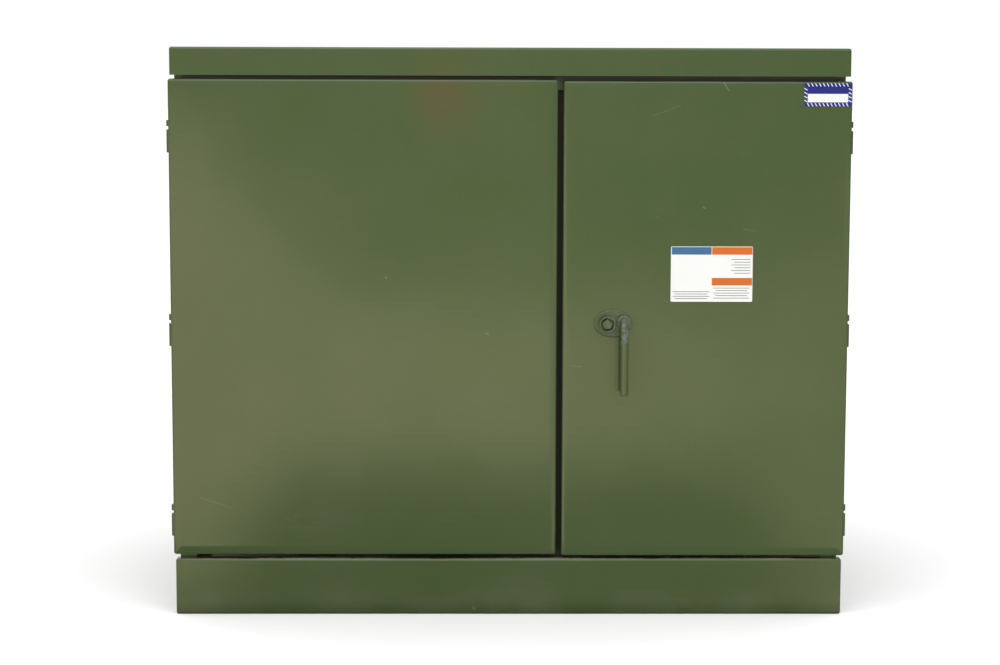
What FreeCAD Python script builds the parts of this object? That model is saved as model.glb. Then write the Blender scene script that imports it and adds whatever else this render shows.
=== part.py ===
"""Pad-mounted three-phase power transformer: a steel terminal cabinet in front of an oil-filled tank.

Millimetres, +Z up, the doors face -Y. The origin is at the middle of the overall footprint, on the ground.
The cabinet has a formed hood, two formed doors on lift-off hinges, a sill and a steel barrier between the
high-voltage side (left) and the low-voltage side (right). The tank carries the bushings on its front wall
and two banks of cooling panels on its back wall.
"""

import FreeCAD
import Part
import Sketcher
import os

DOC = FreeCAD.newDocument("pad_mounted_transformer")
DIMS = DOC.addObject("Spreadsheet::Sheet", "dims")

SIZES = {
    # cabinet
    "overall_height": 1547,
    "body_width": 1808,
    "cabinet_depth": 510,
    "sheet": 3,
    "bend_radius": 6.5,
    "jamb_width": 45,
    "wall_return": 60,
    "upstand_foot": 30,
    "header_height": 110,
    "header_lip": 30,
    # hood
    "hood_band": 75,
    "hood_overhang": 9,
    "hood_lap": 40,
    # doors
    "door_flange": 25,
    "door_clearance": 5,
    "door_overhang": 14,
    "right_door_width": 776,
    "centre_gap": 15,
    "hood_gap": 10,
    "sill_gap": 12,
    "right_door_drop": 3,
    "stiffener_width": 70,
    "stiffener_height": 16,
    "stiffener_end_gap": 60,
    # sill
    "sill_height": 155,
    "sill_overhang": 9,
    # barrier
    "barrier_lip": 42,
    "barrier_door_gap": 12,
    "barrier_notch_gap": 2,
    # hinges
    "barrel_radius": 9.5,
    "pin_radius": 4,
    "pin_fit": 0.1,
    "seat_gap": 0.3,
    "leaf_thickness": 5,
    "fixed_barrel": 41,
    "door_barrel": 21,
    "pin_head": 16,
    "pin_shows": 9,
    "top_hinge_inset": 155,
    "bottom_hinge_inset": 89,
    # handle and lock
    "handle_reach": 58,
    "handle_length": 197,
    "rod_radius": 11,
    "elbow_radius": 26,
    "handle_height": 811,
    "handle_inset": 166,
    "lock_spacing": 45,
    "lock_drop": 6,
    "escutcheon_plate": 5,
    "escutcheon_width": 105,
    "escutcheon_height": 75,
    "escutcheon_edge": 3,
    "cup_radius": 21.5,
    "cup_bore": 18,
    "cup_depth": 20,
    "bearing_radius": 18,
    "bearing_length": 14,
    "boss_edge": 1.2,
    "shaft_fit": 0.1,
    "bolt_head_radius": 15,
    "bolt_head_height": 15,
    "bolt_shank_radius": 8,
    "bolt_fit": 0.4,
    "cam_length": 58,
    "cam_radius": 20,
    "cam_thickness": 6,
    "cam_gap": 5,
    # tank
    "tank_depth": 500,
    "tank_inset": 59,
    "tank_height": 1430,
    "tank_corner": 35,
    "rail_height": 30,
    "rail_width": 90,
    "rail_spacing": 1240,
    "rail_sheet": 6,
    "cover_thickness": 8,
    "cover_overhang": 18,
    # lifting eyes
    "lug_thickness": 14,
    "lug_reach": 60,
    "lug_height": 120,
    "lug_hole_radius": 19,
    "lug_hole_offset": 32,
    "lug_hole_margin": 31,
    "lug_round": 20,
    "lug_drop": 70,
    "lug_spacing": 320,
    # cooling panels
    "radiator_reach": 230,
    "radiator_panels": 9,
    "panel_pitch": 62,
    "panel_thickness": 12,
    "panel_depth": 175,
    "panel_height": 1060,
    "panel_bottom": 210,
    "header_pipe_radius": 32,
    "header_inset": 70,
    "bank_centre": 400,
    # high-voltage side
    "hv_wall_gap": 204,
    "hv_pitch": 185,
    "hv_upper": 930,
    "hv_row_drop": 190,
    "hv_row_shift": 92,
    "hv_flange_radius": 48,
    "hv_flange_depth": 16,
    "hv_shank_radius": 37,
    "hv_collar_radius": 44,
    "hv_collar_start": 84,
    "hv_collar_end": 100,
    "hv_nose_radius": 26,
    "hv_nose_start": 107,
    "hv_tip_radius": 20,
    "hv_reach": 205,
    "stand_drop": 120,
    "stand_width": 56,
    "stand_back": 60,
    "stand_reach": 73,
    "stand_lip": 25,
    "fuse_wall_gap": 160,
    "fuse_pitch": 145,
    "fuse_height": 1225,
    "fuse_radius": 26,
    "fuse_cap_radius": 33,
    "fuse_cap_start": 95,
    "fuse_cap_end": 136,
    "fuse_eye_radius": 12,
    "fuse_reach": 170,
    "fuse_tilt": 25,
    "fuse_root": 40,
    "switch_barrier_gap": 218,
    "switch_height": 1190,
    "switch_reach": 95,
    "switch_flange_radius": 45,
    "switch_flange_depth": 12,
    "switch_shaft_radius": 20,
    "switch_bar_half": 55,
    "switch_bar_radius": 16,
    "switch_bar_depth": 18,
    "switch_eye_radius": 8,
    "tap_height": 1010,
    "tap_reach": 70,
    "tap_flange_radius": 38,
    "tap_flange_depth": 10,
    "tap_shaft_radius": 14,
    "tap_lever_length": 60,
    "tap_lever_radius": 15,
    "tap_lever_depth": 12,
    # low-voltage side
    "lv_barrier_gap": 110,
    "lv_pitch": 165,
    "lv_height": 900,
    "lv_stagger": 130,
    "lv_flange_radius": 62,
    "lv_flange_depth": 17,
    "lv_body_radius": 46,
    "lv_shed_radius": 53,
    "lv_shed_pitch": 32,
    "lv_shed_depth": 10,
    "lv_first_shed": 40,
    "lv_neck_radius": 31,
    "lv_body_reach": 120,
    "blade_reach": 125,
    "blade_height": 100,
    "blade_thickness": 12,
    "blade_hole_radius": 7.14,
    "blade_hole_pitch": 44.45,
    "blade_end_inset": 28,
    "strap_thickness": 3,
    "strap_width": 40,
    "strap_drop": 150,
    "strap_rise": 20,
    "strap_lap": 45,
    # gauges and fittings
    "gauge_height": 1270,
    "gauge_barrier_gap": 182,
    "gauge_pitch": 170,
    "gauge_radius": 50,
    "gauge_reach": 42,
    "gauge_stem_radius": 30,
    "gauge_stem_reach": 17,
    "gauge_bezel": 6,
    "gauge_recess": 4,
    "relief_wall_gap": 74,
    "relief_height": 1300,
    "relief_neck_radius": 14,
    "relief_neck": 30,
    "relief_body_radius": 19,
    "relief_body": 54,
    "relief_stem_radius": 6,
    "relief_reach": 72,
    "drain_wall_gap": 104,
    "drain_height": 190,
    "drain_pipe_radius": 22,
    "drain_pipe": 95,
    "drain_chest_radius": 30,
    "drain_chest_reach": 60,
    "drain_chest_height": 76,
    "spindle_radius": 8,
    "spindle_height": 80,
    "wheel_radius": 36,
    "wheel_height": 10,
    "drain_cap_radius": 28,
    "drain_cap": 22,
    "plate_width": 220,
    "plate_height": 160,
    "plate_thickness": 2,
    "plate_barrier_gap": 452,
    "plate_centre": 560,
    # earthing and holding down
    "ground_barrier_gap": 200,
    "ground_height": 170,
    "ground_radius": 22,
    "ground_length": 26,
    "ground_thread_radius": 6.35,
    "ground_thread_depth": 18,
    "foot_across": 560,
    "foot_width": 110,
    "foot_reach": 95,
    "foot_rise": 110,
    "foot_thickness": 12,
    "foot_hole_radius": 10.5,
    "foot_hole_reach": 55,
}

for row, (alias, value) in enumerate(SIZES.items(), start=1):
    DIMS.set(f"A{row}", alias)
    DIMS.set(f"B{row}", str(value))
    DIMS.setAlias(f"B{row}", alias)
DOC.recompute()

# Planes that pieces share, as expressions on the sheet.
DOOR_DEPTH = "(dims.door_flange + dims.door_clearance)"
FACE_Y = (
    f"((dims.handle_reach - {DOOR_DEPTH} - dims.cabinet_depth - dims.tank_depth - dims.radiator_reach) / 2)"
)
FRAME_Y = f"({FACE_Y} + {DOOR_DEPTH})"
TANK_Y = f"({FRAME_Y} + dims.cabinet_depth)"
BACK_Y = f"({TANK_Y} + dims.tank_depth)"
HOOD_BOTTOM = "(dims.overall_height - dims.hood_band)"
DOOR_TOP = f"({HOOD_BOTTOM} - dims.hood_gap)"
DOOR_BOTTOM = "(dims.sill_height + dims.sill_gap)"
DOOR_HEIGHT = f"({DOOR_TOP} - {DOOR_BOTTOM})"
DOOR_EDGE = "(dims.body_width / 2 + dims.door_overhang)"
BODY_EDGE = "(dims.body_width / 2)"
RIGHT_DOOR_LEFT = f"({DOOR_EDGE} - dims.right_door_width)"
LEFT_DOOR_WIDTH = f"(2 * {DOOR_EDGE} - dims.right_door_width - dims.centre_gap)"
GAP_CENTRE = f"({RIGHT_DOOR_LEFT} - dims.centre_gap / 2)"
BARRIER_X = f"({GAP_CENTRE} + dims.barrier_lip / 3)"
HINGE_X = DOOR_EDGE
HINGE_Y = f"({FACE_Y} + dims.door_flange + dims.door_clearance + dims.barrel_radius)"
TANK_WIDTH = "(dims.body_width - 2 * dims.tank_inset)"
TANK_TOP = "(dims.rail_height + dims.tank_height)"
COVER_TOP = f"({TANK_TOP} + dims.cover_thickness)"
ROOF_Z = "(dims.overall_height - dims.sheet)"


# ---------------------------------------------------------------- helpers
def number(expression):
    """The present value of an expression on the sheet."""
    value = DIMS.evalExpression(str(expression))
    return float(getattr(value, "Value", value))


def place(thing, across="0", along="0", up="0"):
    """Ties a sub-part's position to the sheet."""
    for axis, expression in zip("xyz", (across, along, up)):
        thing.setExpression(f"Placement.Base.{axis}", str(expression))
    return thing


def body(label):
    made = DOC.addObject("PartDesign::Body", label)
    made.Label = label
    return made


def sketch_on(owner, plane, offset=None):
    """An empty sketch on one of the body's own origin planes, or parallel to it at an offset."""
    sketch = owner.newObject("Sketcher::SketchObject", f"{owner.Name}_sketch")
    support = next(f for f in owner.Origin.OriginFeatures if f.Role == plane)
    sketch.AttachmentSupport = (support, [""])
    sketch.MapMode = "FlatFace"
    if offset is not None:
        sketch.setExpression("AttachmentOffset.Base.z", offset)
    return sketch


def pin_point(sketch, geometry, vertex, across, up):
    """Fixes one point of a sketch at a pair of expressions measured from the sketch's origin."""
    for kind, expression in (("DistanceX", across), ("DistanceY", up)):
        index = sketch.addConstraint(
            Sketcher.Constraint(kind, -1, 1, geometry, vertex, number(expression))
        )
        sketch.setExpression(f"Constraints[{index}]", str(expression))


def add_polygon(sketch, points):
    """Straight lines through corners given as (across, up) pairs of expressions, closed."""
    corners = [FreeCAD.Vector(number(a), number(b), 0) for a, b in points]
    first = sketch.GeometryCount
    for start, end in zip(corners, corners[1:] + corners[:1]):
        sketch.addGeometry(Part.LineSegment(start, end))
    last = sketch.GeometryCount
    for line in range(first, last):
        following = line + 1 if line + 1 < last else first
        sketch.addConstraint(Sketcher.Constraint("Coincident", line, 2, following, 1))
    for line, (across, up) in zip(range(first, last), points):
        pin_point(sketch, line, 1, across, up)


def add_rectangle(sketch, left, bottom, right, top):
    add_polygon(sketch, [(left, bottom), (right, bottom), (right, top), (left, top)])


def add_circle(sketch, across, up, radius):
    centre = FreeCAD.Vector(number(across), number(up), 0)
    circle = sketch.addGeometry(Part.Circle(centre, FreeCAD.Vector(0, 0, 1), number(radius)))
    pin_point(sketch, circle, 3, across, up)
    index = sketch.addConstraint(Sketcher.Constraint("Radius", circle, number(radius)))
    sketch.setExpression(f"Constraints[{index}]", str(radius))


def add_slot(sketch, left, right, up, radius):
    """A level slot with round ends whose end centres are at left and right."""
    a, b, z, r = (number(e) for e in (left, right, up, radius))
    normal = FreeCAD.Vector(0, 0, 1)
    top = sketch.addGeometry(Part.LineSegment(FreeCAD.Vector(a, z + r, 0), FreeCAD.Vector(b, z + r, 0)))
    bottom = sketch.addGeometry(Part.LineSegment(FreeCAD.Vector(a, z - r, 0), FreeCAD.Vector(b, z - r, 0)))
    quarter = 1.5707963267948966
    right_arc = sketch.addGeometry(
        Part.ArcOfCircle(Part.Circle(FreeCAD.Vector(b, z, 0), normal, r), -quarter, quarter)
    )
    left_arc = sketch.addGeometry(
        Part.ArcOfCircle(Part.Circle(FreeCAD.Vector(a, z, 0), normal, r), quarter, 3 * quarter)
    )
    for line, vertex, arc, end in (
        (bottom, 2, right_arc, 1),
        (top, 2, right_arc, 2),
        (top, 1, left_arc, 1),
        (bottom, 1, left_arc, 2),
    ):
        sketch.addConstraint(Sketcher.Constraint("Tangent", line, vertex, arc, end))
    pin_point(sketch, right_arc, 3, right, up)
    pin_point(sketch, left_arc, 3, left, up)
    index = sketch.addConstraint(Sketcher.Constraint("Radius", right_arc, r))
    sketch.setExpression(f"Constraints[{index}]", str(radius))


def add_ellipse(sketch, across, up, width, height):
    """A level ellipse of a given width and height about a centre."""
    a, b, w, h = (number(e) for e in (across, up, width, height))
    centre = FreeCAD.Vector(a, b, 0)
    tip = FreeCAD.Vector(a + w / 2, b, 0)
    top = FreeCAD.Vector(a, b + h / 2, 0)
    ellipse = sketch.addGeometry(Part.Ellipse(tip, top, centre))
    sketch.exposeInternalGeometry(ellipse)
    pin_point(sketch, ellipse, 3, across, up)
    major, minor = ellipse + 1, ellipse + 2
    sketch.addConstraint(Sketcher.Constraint("Horizontal", major))
    for line, size in ((major, width), (minor, height)):
        index = sketch.addConstraint(Sketcher.Constraint("Distance", line, number(size)))
        sketch.setExpression(f"Constraints[{index}]", str(size))


def pad(owner, sketch, length, back=False, centred=False):
    """Adds material from a sketch: along the plane's normal, against it with back, or both ways."""
    feature = owner.newObject("PartDesign::Pad", f"{owner.Name}_pad")
    feature.Profile = sketch
    feature.setExpression("Length", str(length))
    feature.Reversed = back
    if centred:
        feature.SideType = "Symmetric"
    DOC.recompute()
    return feature


def pocket(owner, sketch, length=None, back=False, centred=False):
    """Cuts a sketch out of the body to a depth, or right through, and makes sure that it cut."""
    before = owner.Shape.Volume
    feature = owner.newObject("PartDesign::Pocket", f"{owner.Name}_pocket")
    feature.Profile = sketch
    if length is None:
        feature.Type = "ThroughAll"
    else:
        feature.setExpression("Length", str(length))
    feature.Reversed = back
    if centred:
        feature.SideType = "Symmetric"
    DOC.recompute()
    if owner.Shape.Volume >= before:
        raise RuntimeError(f"{feature.Name} in {owner.Label} cuts nothing")
    return feature


def revolve(owner, sketch, axis="V_Axis"):
    feature = owner.newObject("PartDesign::Revolution", f"{owner.Name}_turned")
    feature.Profile = sketch
    feature.ReferenceAxis = (sketch, [axis])
    feature.Angle = 360
    DOC.recompute()
    return feature


def edges(feature, wanted):
    """Names of the feature's straight or curved edges for which wanted(edge) is true."""
    return [f"Edge{n}" for n, edge in enumerate(feature.Shape.Edges, start=1) if wanted(edge)]


def runs_along(edge, axis):
    """True if a straight edge is parallel to x, y or z."""
    span = edge.BoundBox
    lengths = {"x": span.XLength, "y": span.YLength, "z": span.ZLength}
    others = [lengths[name] for name in lengths if name != axis]
    return lengths[axis] > 1e-3 and max(others) < 1e-3


def fillet(owner, feature, names, radius):
    rounded = owner.newObject("PartDesign::Fillet", f"{owner.Name}_fillet")
    rounded.Base = (feature, names)
    rounded.setExpression("Radius", str(radius))
    DOC.recompute()
    return rounded


def shell(owner, feature, faces, wall):
    """Hollows a block to a sheet of even thickness, open at the named faces."""
    hollow = owner.newObject("PartDesign::Thickness", f"{owner.Name}_sheet")
    hollow.Base = (feature, faces)
    hollow.setExpression("Value", str(wall))
    hollow.Reversed = True
    hollow.Mode = "Skin"
    hollow.Join = "Arc"
    DOC.recompute()
    return hollow


def group(label, members):
    """One sub-part made of several solids that don't touch."""
    made = DOC.addObject("Part::Compound", label)
    made.Label = label
    made.Links = members
    return made


def turned(label, profile, across, up):
    """A round fitting on the tank's front wall, from (radius, distance in front of the wall) pairs."""
    made = body(label)
    sketch = sketch_on(made, "XY_Plane")
    add_polygon(sketch, [(radius, f"-({reach})") for radius, reach in profile])
    revolve(made, sketch)
    return place(made, across, TANK_Y, up)


def tilt_up(fitting, angle, root):
    """Leans a round fitting's outer end up, and trims its root flush with the wall it stands on."""
    slope = f"tan({angle} * 1 deg)"
    trim = sketch_on(fitting, "YZ_Plane")
    add_polygon(
        trim,
        [
            (f"{root} * {slope}", f"-{root}"),
            (f"{root} * 2", f"-{root}"),
            (f"{root} * 2", root),
            (f"-{root} * {slope}", root),
        ],
    )
    pocket(fitting, trim, centred=True)
    turn = FreeCAD.Rotation(FreeCAD.Vector(1, 0, 0), -number(angle))
    fitting.Placement = FreeCAD.Placement(fitting.Placement.Base, turn)
    fitting.setExpression("Placement.Rotation.Angle", f"-{angle}")
    return fitting


def formed_sheet(label, width, depth, height, rounded, faces):
    """A folded sheet: a block with bent edges, hollowed to the sheet's thickness through open faces."""
    made = body(label)
    sketch = sketch_on(made, "XY_Plane")
    add_rectangle(sketch, "0", "0", width, depth)
    block = pad(made, sketch, height)
    bent = fillet(made, block, edges(block, rounded), "dims.bend_radius")
    shell(made, bent, faces(bent), "dims.sheet")
    return made


def faces_at(feature, test):
    """Names of the faces whose centre and outward normal pass a test."""
    found = []
    for n, face in enumerate(feature.Shape.Faces, start=1):
        if face.Surface.TypeId == "Part::GeomPlane" and test(face.CenterOfMass, face.normalAt(0, 0)):
            found.append(f"Face{n}")
    return found


def door_edges(edge):
    """Every edge of a door blank except those round its open back."""
    return edge.BoundBox.YMin < 1e-3


def open_back(feature):
    return faces_at(feature, lambda centre, normal: normal.y > 0.9)


# ---------------------------------------------------------------- cabinet
def side_wall(label, side):
    """A cabinet side: one sheet folded to a channel, with a jamb in front and a return on the tank."""
    made = body(label)
    sketch = sketch_on(made, "XY_Plane")
    outer, inner = f"{side} * {BODY_EDGE}", f"{side} * ({BODY_EDGE} - dims.sheet)"
    jamb = f"{side} * ({BODY_EDGE} - dims.jamb_width)"
    back = "dims.cabinet_depth"
    tank = f"{side} * {TANK_WIDTH} / 2"
    add_polygon(
        sketch,
        [
            (jamb, "0"),
            (outer, "0"),
            (outer, f"{back} + dims.wall_return"),
            (inner, f"{back} + dims.wall_return"),
            (inner, f"{back} + dims.sheet"),
            (tank, f"{back} + dims.sheet"),
            (tank, back),
            (inner, back),
            (inner, "dims.sheet"),
            (jamb, "dims.sheet"),
        ],
    )
    block = pad(made, sketch, ROOF_Z)
    corner = abs(number(outer))
    fillet(
        made,
        block,
        edges(
            block,
            lambda e: runs_along(e, "z")
            and abs(abs(e.CenterOfMass.x) - corner) < 1e-3
            and e.CenterOfMass.y < 1e-3,
        ),
        "dims.bend_radius",
    )
    return place(made, "0", FRAME_Y, "0")


def hood():
    """The cabinet's roof: a sheet folded down on its front and sides, open underneath and behind."""
    made = formed_sheet(
        "hood",
        f"2 * ({BODY_EDGE} + dims.hood_overhang)",
        f"{DOOR_DEPTH} + dims.cabinet_depth + dims.hood_lap",
        "dims.hood_band",
        lambda e: (e.BoundBox.YMin < 1e-3 or e.BoundBox.YLength > 100) and e.BoundBox.ZMax > 1e-3,
        lambda f: faces_at(f, lambda centre, normal: normal.z < -0.9 or normal.y > 0.9),
    )
    return place(made, f"-({BODY_EDGE} + dims.hood_overhang)", FACE_Y, HOOD_BOTTOM)


def header_rail():
    """The lintel behind the gap over the doors: an angle between the side walls."""
    made = body("header_rail")
    sketch = sketch_on(made, "YZ_Plane")
    add_polygon(
        sketch,
        [
            ("0", "0"),
            ("dims.header_lip", "0"),
            ("dims.header_lip", "dims.sheet"),
            ("dims.sheet", "dims.sheet"),
            ("dims.sheet", "dims.header_height"),
            ("0", "dims.header_height"),
        ],
    )
    pad(made, sketch, "dims.body_width - 2 * dims.jamb_width", centred=True)
    return place(made, "0", FRAME_Y, f"{ROOF_Z} - dims.header_height")


def roof_upstand():
    """The angle on the front edge of the tank's cover that closes the cabinet up to its roof."""
    made = body("roof_upstand")
    sketch = sketch_on(made, "YZ_Plane")
    add_polygon(
        sketch,
        [
            ("0", "0"),
            ("dims.upstand_foot", "0"),
            ("dims.upstand_foot", "dims.sheet"),
            ("dims.sheet", "dims.sheet"),
            ("dims.sheet", f"{ROOF_Z} - {COVER_TOP}"),
            ("0", f"{ROOF_Z} - {COVER_TOP}"),
        ],
    )
    pad(made, sketch, TANK_WIDTH, centred=True)
    return place(made, "0", TANK_Y, COVER_TOP)


def sill():
    """The removable sill under the doors: a folded sheet that stands against the jambs."""
    made = formed_sheet(
        "sill",
        f"2 * ({BODY_EDGE} + dims.sill_overhang)",
        DOOR_DEPTH,
        "dims.sill_height",
        door_edges,
        open_back,
    )
    return place(made, f"-({BODY_EDGE} + dims.sill_overhang)", FACE_Y, "0")


def centre_barrier():
    """The steel sheet between the two compartments, folded behind the gap between the doors."""
    made = body("centre_barrier")
    sketch = sketch_on(made, "XY_Plane")
    front = "dims.barrier_door_gap"
    lip = "-dims.barrier_lip"
    add_polygon(
        sketch,
        [
            (lip, front),
            ("dims.sheet", front),
            ("dims.sheet", "dims.cabinet_depth"),
            ("0", "dims.cabinet_depth"),
            ("0", f"{front} + dims.sheet"),
            (lip, f"{front} + dims.sheet"),
        ],
    )
    pad(made, sketch, ROOF_Z)
    notch = sketch_on(made, "YZ_Plane")
    clear = "dims.barrier_notch_gap"
    add_rectangle(
        notch,
        "0",
        f"{ROOF_Z} - dims.header_height - {clear}",
        f"dims.header_lip + {clear}",
        "dims.overall_height",
    )
    pocket(made, notch, centred=True)
    return place(made, BARRIER_X, FRAME_Y, "0")


# ---------------------------------------------------------------- tank
def base_rails():
    """Two folded steel skids under the tank."""
    rails = []
    for side, name in (("-1", "left_rail"), ("1", "right_rail")):
        rail = body(name)
        sketch = sketch_on(rail, "XZ_Plane")
        add_polygon(
            sketch,
            [
                ("-dims.rail_width / 2", "0"),
                ("dims.rail_width / 2", "0"),
                ("dims.rail_width / 2", "dims.rail_height"),
                ("-dims.rail_width / 2", "dims.rail_height"),
                ("-dims.rail_width / 2", "dims.rail_height - dims.rail_sheet"),
                ("dims.rail_width / 2 - dims.rail_sheet", "dims.rail_height - dims.rail_sheet"),
                ("dims.rail_width / 2 - dims.rail_sheet", "dims.rail_sheet"),
                ("-dims.rail_width / 2", "dims.rail_sheet"),
            ],
        )
        pad(rail, sketch, "dims.tank_depth", back=True)
        place(rail, f"{side} * dims.rail_spacing / 2", TANK_Y, "0")
        rails.append(rail)
    return group("base_rails", rails)


def tank():
    """The welded tank with its core, coils and oil, as one closed housing."""
    made = body("tank")
    sketch = sketch_on(made, "XY_Plane")
    add_rectangle(sketch, f"-{TANK_WIDTH} / 2", "0", f"{TANK_WIDTH} / 2", "dims.tank_depth")
    block = pad(made, sketch, "dims.tank_height")
    upright = edges(block, lambda e: runs_along(e, "z") and e.CenterOfMass.y > 1)
    fillet(made, block, upright, "dims.tank_corner")
    return place(made, "0", TANK_Y, "dims.rail_height")


def tank_cover():
    """The bolted plate that closes the tank, a little larger than it on the sides and back."""
    made = body("tank_cover")
    sketch = sketch_on(made, "XY_Plane")
    edge = f"({TANK_WIDTH} / 2 + dims.cover_overhang)"
    add_rectangle(sketch, f"-{edge}", "dims.sheet", edge, "dims.tank_depth + dims.cover_overhang")
    block = pad(made, sketch, "dims.cover_thickness")
    back_half = number("dims.tank_depth / 2")
    upright = edges(block, lambda e: runs_along(e, "z") and e.CenterOfMass.y > back_half)
    fillet(made, block, upright, "dims.tank_corner + dims.cover_overhang")
    return place(made, "0", TANK_Y, TANK_TOP)


def lifting_lugs():
    """Four eye plates welded to the tank's sides near its top."""
    lugs = []
    for side, hand in (("-1", "left"), ("1", "right")):
        for row, end in (("-1", "front"), ("1", "rear")):
            lug = body(f"lug_{end}_{hand}")
            sketch = sketch_on(lug, "XZ_Plane")
            add_polygon(
                sketch,
                [
                    ("0", "-dims.lug_height / 2"),
                    (f"{side} * dims.lug_reach", "0"),
                    (f"{side} * dims.lug_reach", "dims.lug_height / 2"),
                    ("0", "dims.lug_height / 2"),
                ],
            )
            add_circle(
                sketch,
                f"{side} * dims.lug_hole_offset",
                "dims.lug_height / 2 - dims.lug_hole_margin",
                "dims.lug_hole_radius",
            )
            block = pad(lug, sketch, "dims.lug_thickness", centred=True)
            tip = abs(number("dims.lug_reach"))
            top = number("dims.lug_height / 2")
            corner = edges(
                block,
                lambda e: runs_along(e, "y")
                and abs(abs(e.CenterOfMass.x) - tip) < 1e-3
                and abs(e.CenterOfMass.z - top) < 1e-3,
            )
            fillet(lug, block, corner, "dims.lug_round")
            place(
                lug,
                f"{side} * {TANK_WIDTH} / 2",
                f"{TANK_Y} + dims.tank_depth / 2 + {row} * dims.lug_spacing / 2",
                f"{TANK_TOP} - dims.lug_drop",
            )
            lugs.append(lug)
    return group("lifting_lugs", lugs)


def radiator(label, side):
    """A bank of cooling panels between an upper and a lower header pipe, with stub pipes to the tank."""
    made = body(label)
    last = "((dims.radiator_panels - 1) * dims.panel_pitch)"
    depth_centre = "dims.radiator_reach - dims.panel_depth / 2"
    upper = "(dims.panel_height - dims.header_inset)"
    lower = "dims.header_inset"
    pipe_end = f"({last} / 2 + dims.panel_pitch / 3)"

    def header_pipe(height):
        sketch = sketch_on(made, "YZ_Plane")
        add_circle(sketch, depth_centre, height, "dims.header_pipe_radius")
        return pad(made, sketch, f"2 * {pipe_end}", centred=True)

    header_pipe(upper)
    plate = sketch_on(made, "XY_Plane")
    left_face = f"(-{last} / 2 - dims.panel_thickness / 2)"
    add_rectangle(
        plate,
        left_face,
        "dims.radiator_reach - dims.panel_depth",
        f"{left_face} + dims.panel_thickness",
        "dims.radiator_reach",
    )
    panel = pad(made, plate, "dims.panel_height")
    row = made.newObject("PartDesign::LinearPattern", f"{label}_row")
    row.Originals = [panel]
    row.Direction = (plate, ["H_Axis"])
    row.Mode = "Extent"
    row.setExpression("Length", last)
    row.setExpression("Occurrences", "dims.radiator_panels")
    made.Tip = row
    DOC.recompute()
    header_pipe(lower)
    stubs = sketch_on(made, "XZ_Plane")
    for across in ("-dims.panel_pitch * 2.5", "dims.panel_pitch * 2.5"):
        for height in (upper, lower):
            add_circle(stubs, across, height, "dims.header_pipe_radius * 0.8")
    pad(made, stubs, depth_centre, back=True)
    return place(made, f"{side} * dims.bank_centre", BACK_Y, "dims.panel_bottom")


# ---------------------------------------------------------------- hinges
def hinge_heights(drop="0"):
    """Lower ends of a door's three hinges: two at set insets from its ends and one half way."""
    stack = "(dims.fixed_barrel + dims.door_barrel + dims.pin_shows + dims.pin_head)"
    upper = f"({DOOR_TOP} - dims.top_hinge_inset - {stack} / 2)"
    lower = f"({DOOR_BOTTOM} + dims.bottom_hinge_inset - {stack} / 2)"
    return {"lower": lower, "middle": f"(({upper} + {lower}) / 2)", "upper": upper}


def fixed_hinge(name, side, height):
    """The fixed half of a lift-off hinge: a barrel welded to the side wall, with its pin and pin head."""
    made = body(name)
    barrel = sketch_on(made, "XY_Plane")
    add_circle(barrel, "0", "0", "dims.barrel_radius")
    pad(made, barrel, "dims.fixed_barrel")
    web = sketch_on(made, "XY_Plane")
    half = "dims.leaf_thickness / 2"
    add_rectangle(web, "0", f"-{half}", f"-{side} * dims.door_overhang", half)
    pad(made, web, "dims.fixed_barrel")
    pin = sketch_on(made, "XY_Plane")
    add_circle(pin, "0", "0", "dims.pin_radius")
    stack = "(dims.fixed_barrel + dims.door_barrel + dims.pin_shows)"
    pad(made, pin, f"{stack} + dims.pin_head / 2")
    head = sketch_on(made, "XY_Plane", stack)
    add_circle(head, "0", "0", "dims.barrel_radius")
    pad(made, head, "dims.pin_head")
    return place(made, f"{side} * {HINGE_X}", HINGE_Y, height)


def door_hinge(name, side, height):
    """The door's half of a hinge: a bored barrel with a leaf welded inside the door's side flange."""
    made = body(name)
    solid = sketch_on(made, "XY_Plane")
    add_circle(solid, "0", "0", "dims.barrel_radius")
    pad(made, solid, "dims.door_barrel - dims.seat_gap")
    leaf = sketch_on(made, "XY_Plane")
    inner = f"-{side} * dims.sheet"
    lap = "dims.door_clearance + dims.barrel_radius + dims.door_flange / 2"
    add_rectangle(
        leaf,
        inner,
        f"-({lap})",
        f"{inner} - {side} * dims.leaf_thickness",
        "0",
    )
    pad(made, leaf, "dims.door_barrel - dims.seat_gap")
    bore = sketch_on(made, "XY_Plane")
    add_circle(bore, "0", "0", "dims.pin_radius + dims.pin_fit")
    pocket(made, bore, "dims.door_barrel", back=True)
    return place(
        made,
        f"{side} * {HINGE_X}",
        HINGE_Y,
        f"{height} + dims.fixed_barrel + dims.seat_gap",
    )


def hinges(side, hand):
    fixed, moving = [], []
    for level, height in hinge_heights().items():
        fixed.append(fixed_hinge(f"{hand}_{level}_hinge_post", side, height))
        moving.append(door_hinge(f"{hand}_{level}_hinge_leaf", side, height))
    return [group(f"{hand}_hinge_posts", fixed), group(f"{hand}_hinge_leaves", moving)]


# ---------------------------------------------------------------- doors
def left_door():
    made = formed_sheet(
        "left_door", LEFT_DOOR_WIDTH, "dims.door_flange", DOOR_HEIGHT, door_edges, open_back
    )
    return place(made, f"-{DOOR_EDGE}", FACE_Y, DOOR_BOTTOM)


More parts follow.
